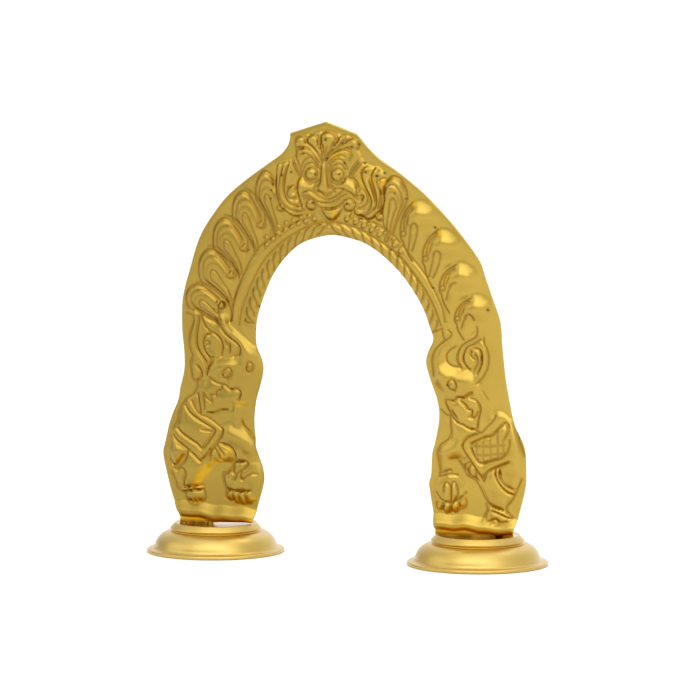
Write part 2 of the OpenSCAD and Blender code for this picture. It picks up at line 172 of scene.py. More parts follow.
def makeAir():
    # the air is duller low down on the left
    world = bpy.data.worlds.new("studioAir")
    scene.world = world
    world.use_nodes = True
    air = world.node_tree
    ways = air.nodes.new("ShaderNodeVectorMath")
    ways.operation = "DOT_PRODUCT"
    ways.inputs[1].default_value = studio["brighterWay"]
    air.links.new(air.nodes.new("ShaderNodeTexCoord").outputs["Generated"], ways.inputs[0])
    side = air.nodes.new("ShaderNodeMapRange")
    side.inputs["From Min"].default_value = studio["skySpan"][0]
    side.inputs["From Max"].default_value = studio["skySpan"][1]
    air.links.new(ways.outputs["Value"], side.inputs["Value"])
    tone = air.nodes.new("ShaderNodeMix")
    tone.data_type = "RGBA"
    tone.inputs[mixFirst].default_value = studio["skyLeft"]
    tone.inputs[mixSecond].default_value = studio["skyRight"]
    air.links.new(side.outputs["Result"], tone.inputs["Factor"])
    air.links.new(tone.outputs[mixResult], air.nodes["Background"].inputs["Color"])


makeSweep()
makeLights()
makeAir()
scene.view_settings.view_transform = "Standard"
print("stage and lights set")

# Finishes
finishes = {
    "gilt": (0.505, 0.335, 0.05, 1.0),
    # gilt darkened by painted shade, for the sheet's left side
    "giltShaded": (0.365, 0.242, 0.033, 1.0),
    # deep orange gilt: the painted glow of reflected gilding, and a tone in the polished top's mottle
    "deepGiltAndGlow": (0.70, 0.42, 0.008, 1.0),
    # dark brown for painted shade with tarnish in the chased lines and on the feet
    "shadeAndTarnish": (0.22, 0.10, 0.002, 1.0),
    "darkSpeck": (0.028, 0.014, 0.004, 1.0),
    "satin": (0.60, 0.42, 0.105, 1.0),
    "satinWarm": (0.62, 0.415, 0.075, 1.0),
    "mirror": (0.64, 0.36, 0.03, 1.0),
    "solder": (0.40, 0.26, 0.07, 1.0),
    "flux": (0.13, 0.065, 0.015, 1.0),
}
# In the looks below, lacquer is its weight and roughness, and bump is in mm. A noise is its scale and
# detail, then its low and high and what these become, 0 and 1 where nothing is said.
giltLook = {
    "lacquer": (0.3, 0.2),
    "shadedSide": (-70.0, 70.0),      # mm across, from the side painted in shade to the brighter one
    "patches": (60.0, 3.0, 0.35, 0.65, -0.15, 0.15),
    "grime": (45.0, 4.0, 0.3, 0.75, 0.27, 0.36),
    "darkSpeckRoughness": 0.5,
    "dents": (95.0, 1.0, 0.0, 1.0, 0.0, 1.6),
    "ripples": (260.0, 2.0),
    "grain": (1100.0, 2.0, 0.0, 1.0, 0.0, 0.3),
    "bump": 0.11,
}
satinLook = {
    "lacquer": (0.6, 0.3),
    "tone": (55.0, 4.0, 0.3, 0.7),
    "collarGlow": (9.4, 12.0, 0.9, 0.0),      # along the profile: painted reflection, the dome glows under the collar
    "skirt": (8.8, 9.2, 1.0, 0.0),      # and the collar's skirt stays pale
    "roughness": (38.0, 4.0, 0.3, 0.7, 0.32, 0.44),
    "rings": (2.6, 3.0),
    "grain": (240.0, 2.0),
    "bump": 0.02,
}
mirrorLook = {
    "lacquer": (0.3, 0.1),
    "colours": ("mirror", "deepGiltAndGlow"),
    "mottle": (80.0, 3.0, 0.3, 0.7),
    "roughness": (60.0, 4.0, 0.3, 0.75, 0.05, 0.14),
    "grain": (120.0, 1.0),
    "bump": 0.03,
}
solderLook = {
    "lacquer": (0.4, 0.2),
    "colours": ("solder", "flux"),
    "mottle": (420.0, 3.0, 0.48, 0.62),
    "roughness": (300.0, 3.0, 0.3, 0.7, 0.22, 0.45),
    "grain": (900.0, 3.0),
    "bump": 0.08,
}


class Finish:
    # a metal material and short ways to add its nodes
    def __init__(self, name, lacquer, lacquerRoughness):
        self.material = bpy.data.materials.new(name)
        self.material.use_nodes = True
        self.nodes = self.material.node_tree.nodes
        self.links = self.material.node_tree.links
        self.shader = self.nodes["Principled BSDF"]
        self.shader.inputs["Metallic"].default_value = 1.0
        self.shader.inputs["Coat Weight"].default_value = lacquer
        self.shader.inputs["Coat Roughness"].default_value = lacquerRoughness
        self.place = self.nodes.new("ShaderNodeTexCoord").outputs["Object"]

    def noise(self, scale, detail):
        node = self.nodes.new("ShaderNodeTexNoise")
        node.inputs["Scale"].default_value = scale
        node.inputs["Detail"].default_value = detail
        self.links.new(self.place, node.inputs["Vector"])
        return node.outputs["Fac"]

    def attribute(self, name):
        node = self.nodes.new("ShaderNodeAttribute")
        node.attribute_name = name
        return node.outputs["Fac"]

    def span(self, value, low, high, toLow=0.0, toHigh=1.0):
        node = self.nodes.new("ShaderNodeMapRange")
        ends = {"From Min": low, "From Max": high, "To Min": toLow, "To Max": toHigh}
        for socket, number in ends.items():
            node.inputs[socket].default_value = number
        self.links.new(value, node.inputs["Value"])
        return node.outputs["Result"]

    def layer(self, scale, detail, *ends):
        return self.span(self.noise(scale, detail), *ends)

    def blend(self, amount, first, second):
        node = self.nodes.new("ShaderNodeMix")
        node.data_type = "RGBA"
        self.links.new(amount, node.inputs["Factor"])
        for socket, colour in ((mixFirst, first), (mixSecond, second)):
            if isinstance(colour, tuple):
                node.inputs[socket].default_value = colour
            else:
                self.links.new(colour, node.inputs[socket])
        return node.outputs[mixResult]

    def sum(self, first, second):
        node = self.nodes.new("ShaderNodeMath")
        node.operation = "ADD"
        for socket, value in zip(node.inputs, (first, second)):
            self.links.new(value, socket)
        return node.outputs[0]

    def bump(self, height, distance):
        node = self.nodes.new("ShaderNodeBump")
        node.inputs["Distance"].default_value = distance
        self.links.new(height, node.inputs["Height"])
        self.links.new(node.outputs["Normal"], self.shader.inputs["Normal"])

    def feed(self, socket, value):
        self.links.new(value, self.shader.inputs[socket])


def giltFinish():
    # painted shade: the gilt darkens towards the left of the sheet, and patches of tone vary at random
    gilt = Finish("giltSheet", *giltLook["lacquer"])
    axes = gilt.nodes.new("ShaderNodeSeparateXYZ")
    gilt.links.new(gilt.place, axes.inputs["Vector"])
    shadedSideAt = [x * mm for x in giltLook["shadedSide"]]
    shadeAndPatches = gilt.sum(gilt.span(axes.outputs["X"], *shadedSideAt), gilt.layer(*giltLook["patches"]))
    colour = gilt.blend(shadeAndPatches, finishes["giltShaded"], finishes["gilt"])
    # painted reflection glows in deep places, painted shade with tarnish darkens the lines and feet, dark
    # specks go on last
    for mark, tone in (("hollow", "deepGiltAndGlow"), ("shadeAndTarnish", "shadeAndTarnish"), ("darkSpeck", "darkSpeck")):
        colour = gilt.blend(gilt.attribute(mark), colour, finishes[tone])
    gilt.feed("Base Color", colour)
    speckRoughening = gilt.span(gilt.attribute("darkSpeck"), 0.0, 1.0, 0.0, giltLook["darkSpeckRoughness"])
    gilt.feed("Roughness", gilt.sum(gilt.layer(*giltLook["grime"]), speckRoughening))
    texture = gilt.sum(gilt.noise(*giltLook["ripples"]), gilt.layer(*giltLook["grain"]))
    gilt.bump(gilt.sum(gilt.layer(*giltLook["dents"]), texture), giltLook["bump"] * mm)
    return gilt.material


def satinFinish():
    satin = Finish("spunSatin", *satinLook["lacquer"])
    profile = satin.attribute("profile")
    rings = satin.nodes.new("ShaderNodeTexNoise")
    rings.noise_dimensions = "1D"
    rings.inputs["Scale"].default_value, rings.inputs["Detail"].default_value = satinLook["rings"]
    satin.links.new(profile, rings.inputs["W"])
    plain = satin.blend(satin.layer(*satinLook["tone"]), finishes["satin"], finishes["satinWarm"])
    # painted reflection: deep orange on the dome under the collar
    domeAndGlow = satin.blend(satin.span(profile, *satinLook["collarGlow"]), plain, finishes["deepGiltAndGlow"])
    satin.feed("Base Color", satin.blend(satin.span(profile, *satinLook["skirt"]), domeAndGlow, plain))
    satin.feed("Roughness", satin.layer(*satinLook["roughness"]))
    satin.bump(satin.sum(rings.outputs["Fac"], satin.noise(*satinLook["grain"])), satinLook["bump"] * mm)
    return satin.material


def mottledFinish(name, look):
    mottled = Finish(name, *look["lacquer"])
    first, second = [finishes[colour] for colour in look["colours"]]
    mottled.feed("Base Color", mottled.blend(mottled.layer(*look["mottle"]), first, second))
    mottled.feed("Roughness", mottled.layer(*look["roughness"]))
    mottled.bump(mottled.noise(*look["grain"]), look["bump"] * mm)
    return mottled.material


giltSheet = giltFinish()
spunSatin = satinFinish()
polishedTop = mottledFinish("polishedTop", mirrorLook)
softSolder = mottledFinish("softSolder", solderLook)
print("finishes made")

# The embossed sheet. It is sketched over the picture in its pixels, and each stroke is carried along the
# camera's ray to the leaning sheet, where boards with one cell for each 0.25 mm collect the relief.
archSheet = {
    "lean": 6.0,            # degrees forward
    "thickness": 0.6,
    "springing": 80.0,      # height of the crown's centre above the foot
    "crownReach": 51.0,     # mean radius of the crown's band
    "columns": 816,         # cells along the arch and across it, for the front
    "rows": 112,
    "backStep": 4,          # the hollow back has one cell for so many of these
    "crowding": 0.7,        # how much closer the columns lie in the mask, and how far to each side
    "crowdedHalf": 26.0,
    "stationSamples": 2000,
    "straightPoints": 3,    # a run of the trim with no more points than this is cut straight
    "sharpAngle": 60.0,
    "pitch": 0.25,          # of the boards, with their low and high corners on the sheet
    "boardLow": (-86.0, -2.0),
    "boardHigh": (86.0, 166.0),
    "margin": 1.0,          # of the cells round a stroke
    "curvePoints": 2,       # to each millimetre of a curve
    "ballPoints": 8,
}
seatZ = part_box("left_pedestal")[1].z / mm
leanSlope = math.tan(math.radians(archSheet["lean"]))
archLength = 2 * archSheet["springing"] + math.pi * archSheet["crownReach"]
boardLow = np.array(archSheet["boardLow"])
boardCells = ((np.array(archSheet["boardHigh"]) - boardLow) / archSheet["pitch"]).astype(int) + 1
boardAcross, boardUp = [boardLow[k] + archSheet["pitch"] * np.arange(boardCells[k]) for k in (0, 1)]
swellBoard = np.zeros(boardCells[::-1])     # pillows and ridges
creaseBoard = np.zeros(boardCells[::-1])    # chased lines, below zero
shadeAndTarnishBoard = np.zeros(boardCells[::-1])   # painted shade with tarnish: how far the lines have darkened


def onSheet(pixels, lift):
    # picture pixels to (across, up) on the sheet, where its surface stands lift mm proud
    eye, ahead, right, up = shotAxes()
    pixels = np.asarray(pixels, float)
    across = (pixels[:, :1] - shot["middle"][0]) / shot["focal"]
    above = (shot["middle"][1] - pixels[:, 1:2]) / shot["focal"]
    rays = ahead + across * right + above * up
    gap = eye[1] + (eye[2] - seatZ) * leanSlope + lift + archSheet["thickness"] / 2
    spots = eye - (gap / (rays[:, 1] + rays[:, 2] * leanSlope))[:, None] * rays
    return np.stack([spots[:, 0], spots[:, 2] - seatZ], -1)


def curved(points, closed=False):
    # a smooth curve through the points
    ends = points[[-1]], points[:2]
    if not closed:
        ends = 2 * points[[0]] - points[[1]], 2 * points[[-1]] - points[[-2]]
    run = np.vstack([ends[0], points, ends[1]])
    pieces = []
    for a, b, c, d in zip(run[:-3], run[1:-2], run[2:-1], run[3:]):
        count = max(1, int(archSheet["curvePoints"] * np.linalg.norm(c - b)))
        t = (np.arange(count) / count)[:, None]
        bend = (c - a) * t + (2 * a - 5 * b + 4 * c - d) * t ** 2 + (3 * b - a - 3 * c + d) * t ** 3
        pieces.append(b + bend / 2)
    if not closed:
        pieces.append(points[-1:])
    return np.vstack(pieces)


def boardWindow(path, margin):
    # the cells of the boards round a path, and their places on the sheet
    pitch = archSheet["pitch"]
    first = np.maximum(((path.min(0) - margin - boardLow) / pitch).astype(int), 0)
    last = np.minimum(((path.max(0) + margin - boardLow) / pitch).astype(int) + 2, boardCells)
    wide, tall = [slice(first[k], last[k]) for k in (0, 1)]
    return (tall, wide), *np.meshgrid(boardAcross[wide], boardUp[tall])


def strokeDistance(path, ends, across, up):
    nearest = np.full(across.shape, np.inf)
    for (ax, ay), (bx, by) in zip(path, ends):
        dx, dy = bx - ax, by - ay
        length = max(dx * dx + dy * dy, np.finfo(float).tiny)
        t = np.clip(((across - ax) * dx + (up - ay) * dy) / length, 0, 1)
        nearest = np.minimum(nearest, (across - ax - t * dx) ** 2 + (up - ay - t * dy) ** 2)
    return np.sqrt(nearest)


def insideOutline(path, ends, across, up):
    inside = np.zeros(across.shape, bool)
    for (ax, ay), (bx, by) in zip(path, ends):
        if ay != by:
            inside ^= ((ay > up) != (by > up)) & (across < (bx - ax) * (up - ay) / (by - ay) + ax)
    return inside


def mound(pixels, lift, shoulder, rise):
    # a pillow with rounded shoulders inside a closed outline
    path = curved(onSheet(pixels, lift), closed=True)
    ends = np.roll(path, -1, 0)
    cells, across, up = boardWindow(path, archSheet["margin"])
    depth = np.clip(strokeDistance(path, ends, across, up) / shoulder, 0, 1)
    swell = rise * np.sin(depth * math.pi / 2)
    swellBoard[cells] += np.where(insideOutline(path, ends, across, up), swell, 0)


def besideLine(pixels, lift, width):
    # the cells near a line, and how far out across its width each one lies
    path = curved(onSheet(pixels, lift))
    cells, across, up = boardWindow(path, width)
    return cells, np.clip(2 * strokeDistance(path, path[1:], across, up) / width, 0, 1)


def ridge(pixels, lift, width, rise):
    # a round-backed rib along a line
    cells, out = besideLine(pixels, lift, width)
    swellBoard[cells] += rise * np.cos(out * math.pi / 2)


def swelling(pixels, lift, width, rise):
    # a smooth bulge along a line, with no edge of its own
    cells, out = besideLine(pixels, lift, width)
    swellBoard[cells] += rise * (1 + np.cos(out * math.pi)) / 2


def crease(pixels, lift, reach, depth, shadeAndTarnish, closed=False):
    chase(curved(onSheet(pixels, lift), closed), reach, depth, shadeAndTarnish, closed)


def chase(path, reach, depth, shadeAndTarnish, closed=False):
    # a chased line: sharp at its bottom, easing out on both sides
    cells, across, up = boardWindow(path, reach + archSheet["margin"])
    away = strokeDistance(path, np.roll(path, -1, 0) if closed else path[1:], across, up)
    cut = -depth * np.clip(1 - away / reach, 0, 1) ** embossing["creaseSharpness"]
    creaseBoard[cells] = np.minimum(creaseBoard[cells], cut)
    # painted shade with tarnish darkens the gilt along the line
    dark = shadeAndTarnish * np.exp(-(away / embossing["shadeAndTarnishReach"]) ** 2)
    shadeAndTarnishBoard[cells] = np.maximum(shadeAndTarnishBoard[cells], dark)


def ballPixels(centre, radius):
    turn = np.arange(archSheet["ballPoints"]) * math.tau / archSheet["ballPoints"]
    return np.array(centre) + radius * np.stack([np.cos(turn), np.sin(turn)], -1)


def softened(heights, passes):
    for _ in range(passes):
        for axis in (0, 1):
            before = np.roll(heights, 1, axis)
            after = np.roll(heights, -1, axis)
            heights = (before + 2 * heights + after) / 4
    return heights


# Strokes in picture pixels
outerTrim = [[
    (181, 512), (175, 502), (171, 490), (168, 478), (164, 460), (163, 451), (165, 442), (169, 424),
    (173, 412), (178, 400), (180, 388), (184, 370), (184, 352), (182, 330), (182, 304), (185, 286),
    (190, 268), (195, 250), (202, 232), (213, 214), (227, 196), (248, 178), (273, 160), (281, 154),
    (286, 148), (289, 142), (290, 133),
], [
    (290, 133), (326, 121.5), (357, 134),
], [
    (357, 134), (363, 142), (374, 154), (381, 160), (398, 172), (420, 190), (438, 208), (454, 226),
    (468, 244), (480, 262), (484, 274), (492, 298), (500, 322), (502, 346), (505, 376), (509, 400),
    (514, 424), (522, 442), (525, 452), (526, 475), (525, 490), (519, 514), (513, 537),
]]
innerTrim = [[
    (254.6, 520.7), (257, 508), (262, 490), (264, 478), (262, 466), (258, 454), (255, 436), (254, 418),
    (256, 400), (260, 385), (263, 370), (261, 358), (256, 345), (256, 325), (259, 310), (265, 292),
    (273, 274), (286, 256), (300, 244), (315, 238), (332, 235), (349, 238), (366, 244), (383, 256),
    (401, 274), (414, 292), (424, 310), (430, 328), (433, 340), (428, 352), (426, 364), (431, 382),
    (437, 400), (439, 418), (435, 442), (432, 454), (431, 475), (429, 484), (432, 505), (436, 529),
]]

# The rolls beside the inner edge
beadedRoll = [
    (235, 320), (236.5, 307), (240, 295), (245, 283), (251, 271), (258, 260), (266, 250), (276, 241),
    (287, 232.5), (299, 224.5), (311, 218.5), (321, 215.5), (332, 215), (344, 217), (355, 221.5),
    (366, 226.5), (376, 232.5), (386, 239), (396, 247), (405, 256), (413, 265.5), (420, 275), (427, 286),
    (433.5, 298), (439, 311), (443, 324),
]
innerRoll = [
    (249, 322), (250, 312), (254, 300), (258, 288), (264, 276), (271, 265), (280, 254), (290, 245),
    (301, 237), (313, 231), (326, 228.5), (338, 229.5), (350, 232.5), (361, 237), (372, 243), (383, 250),
    (392, 258), (401, 268), (409, 278), (417, 290), (424, 303), (430, 317), (436, 331),
]
rollLines = [
    [(231, 316), (232, 304), (236, 291), (241, 279), (247, 266), (253, 255), (261, 245), (270, 238.5),
     (281, 232), (291, 225), (300, 219)],
    [(239, 325), (240.5, 314), (243, 304), (247, 294), (251, 283.5), (256, 273), (262, 263), (269, 254),
     (277, 246), (286, 238.5), (298, 231), (309, 225.5), (320, 222.5), (332, 221.5), (343, 223.5),
     (353, 226.5), (363, 231), (373, 237), (383, 243.5), (392, 250), (400, 257.5), (408, 267), (415, 276.5),
     (423, 287), (430, 299), (436, 312), (441, 326)],
    [(356, 218), (364, 219), (373, 222), (382, 227), (390, 232.5), (398, 240.5), (406, 250), (413, 259),
     (420, 268), (427, 278), (433, 289), (438, 299), (442.5, 310), (445, 322)],
]

# One feather, drawn in its own units: base corner (0, 0), bud (1, 0), top (0.5, 1)
featherSketch = {
    "vane": [(0, 0), (0.03, 0.27), (0.115, 0.54), (0.26, 0.8), (0.5, 1), (0.69, 0.98), (0.79, 0.85),
        (0.91, 0.58), (1, 0.27), (0.98, 0), (0.9, -0.35), (0.8, -0.7), (0.7, -1), (0.58, -1), (0.46, -0.65),
        (0.22, -0.27)],
    "inner": [(0.16, 0), (0.19, 0.27), (0.29, 0.5), (0.42, 0.68), (0.6, 0.76), (0.77, 0.68), (0.86, 0.5),
        (0.93, 0.27), (0.92, 0), (0.8, -0.5), (0.7, -0.95), (0.6, -0.95), (0.52, -0.64), (0.37, -0.34)],
    "eye": [(0.37, -0.05), (0.4, 0.19), (0.5, 0.3), (0.6, 0.22), (0.65, 0), (0.7, -0.25), (0.75, -0.55),
        (0.71, -0.9), (0.66, -0.88), (0.61, -0.54), (0.49, -0.24)],
    # outline, shoulder, rise
    "mounds": [("vane", 2.6, 1.1), ("inner", 2.0, 0.45), ("eye", 1.6, 0.35)],
    "innerLine": [(0.16, 0), (0.19, 0.27), (0.29, 0.5), (0.42, 0.68), (0.6, 0.76), (0.77, 0.68),
        (0.86, 0.5), (0.93, 0.27), (0.94, 0.08)],
    "middleLine": [(0.27, 0.02), (0.3, 0.25), (0.4, 0.44), (0.55, 0.53), (0.7, 0.47), (0.8, 0.3),
        (0.86, 0.05)],
    # line, how many of its points are chased, reach, depth, painted shade and tarnish
    "lines": [("vane", 9, 1.2, 0.7, 1.0), ("innerLine", 9, 1.0, 0.5, 0.75),
        ("middleLine", 7, 0.8, 0.25, 0.4), ("eye", 6, 1.0, 0.5, 0.8)],
    "stems": [
        [(0, 0), (0.22, -0.27), (0.42, -0.54), (0.54, -0.81), (0.58, -1.05)],
        [(0.16, 0), (0.37, -0.34), (0.52, -0.64), (0.6, -0.95)],
        [(0.37, -0.05), (0.49, -0.24), (0.61, -0.54), (0.66, -0.88)],
        [(0.7, -0.25), (0.75, -0.55), (0.71, -0.9)],
    ],
    "stemCut": (1.4, 0.55, 0.8),      # reach, depth, painted shade and tarnish
    "hood": [(0.24, 0.58), (0.38, 0.74), (0.54, 0.82), (0.7, 0.78)],
    "hoodSwell": (5.0, 0.8),          # width, rise
    # the stem of the feather above runs beside the bud
    "strip": [(0.75, 1.0), (0.93, 0.8), (1.03, 0.58), (1.08, 0.3), (1.05, 0.08)],
    "stripSwell": (2.0, 0.5),
    "stripLine": [(0.62, 1.12), (0.8, 1.08), (0.97, 0.92), (1.1, 0.7), (1.17, 0.48), (1.15, 0.22),
        (1.08, 0)],
    "stripCut": (1.4, 0.45, 0.8),
    "budBall": (4.2, 1.3),            # radius in pixels, rise
}
# A feather that was struck as a plain dome, in the same units
domeSketch = {
    # width, rise, route
    "swellings": [
        (14.0, 2.1, [(0.68, 0.5), (0.52, 0.52), (0.36, 0.4)]),
        (5.0, 0.25, [(0.76, 0.3), (0.66, 0.36), (0.55, 0.3)]),
        (8.0, 0.6, [(0.5, 0.5), (0.58, 0.0), (0.66, -0.5)]),
    ],
    "channel": [(0.7, 0.83), (0.86, 0.58), (0.94, 0.28), (0.95, 0.1)],
    "channelLine": [(0.74, 0.86), (0.92, 0.66), (1, 0.42), (1, 0.19)],
    "outerLine": [(0.72, 0.97), (0.9, 0.83), (1.04, 0.64), (1.12, 0.36), (1.1, 0.02), (1.02, -0.12)],
    "stemLine": [(1.02, -0.12), (0.93, -0.4), (0.8, -0.65), (0.68, -0.85)],
    # line, reach, depth, painted shade and tarnish
    "lines": [("channel", 1.5, 0.5, 0.6), ("channelLine", 1.0, 0.55, 0.9), ("outerLine", 1.1, 0.7, 1.0),
        ("stemLine", 1.1, 0.6, 1.0)],
    "eyeLine": [(0.84, -0.45), (0.8, -0.1), (0.77, 0.18), (0.68, 0.3), (0.58, 0.27), (0.53, 0.1),
        (0.6, -0.2), (0.7, -0.5)],
    "arcLine": [(0.85, -0.3), (0.82, 0.02), (0.73, 0.24), (0.6, 0.31)],
    "centres": ["eyeLine", "eyeLine", "arcLine", None],    # of each dome, from the crown down
    "centreCut": (1.0, 0.45, 0.8),    # reach, depth, painted shade and tarnish
    "bud": (1.02, 0.1),
    "budBall": (2.6, 0.9),            # radius in pixels, rise
    # the feather beside the mask has a small dome under its hood
    "cap": [(0.52, 0.52), (0.36, 0.44)],
    "capSwell": (10.5, 1.3),          # width, rise
}
# Base corner, top and bud of each feather
leftFeathers = [
    [(255, 199), (264, 171), (281, 208)],
    [(232, 219), (241, 191), (261, 225)],
    [(213, 248), (221, 218.5), (244, 248)],
    [(200, 281), (205, 250), (231, 275)],
    [(188, 307), (193, 285), (222, 305)],
]
rightFeathers = [
    [(407, 199), (392, 176), (379, 217)],
    [(433, 227), (419, 199), (403, 237)],
    [(457, 259), (445, 228), (425, 262)],
    [(475, 290), (463, 264), (442, 291)],
    [(489, 319), (478, 297), (457, 321)],
]

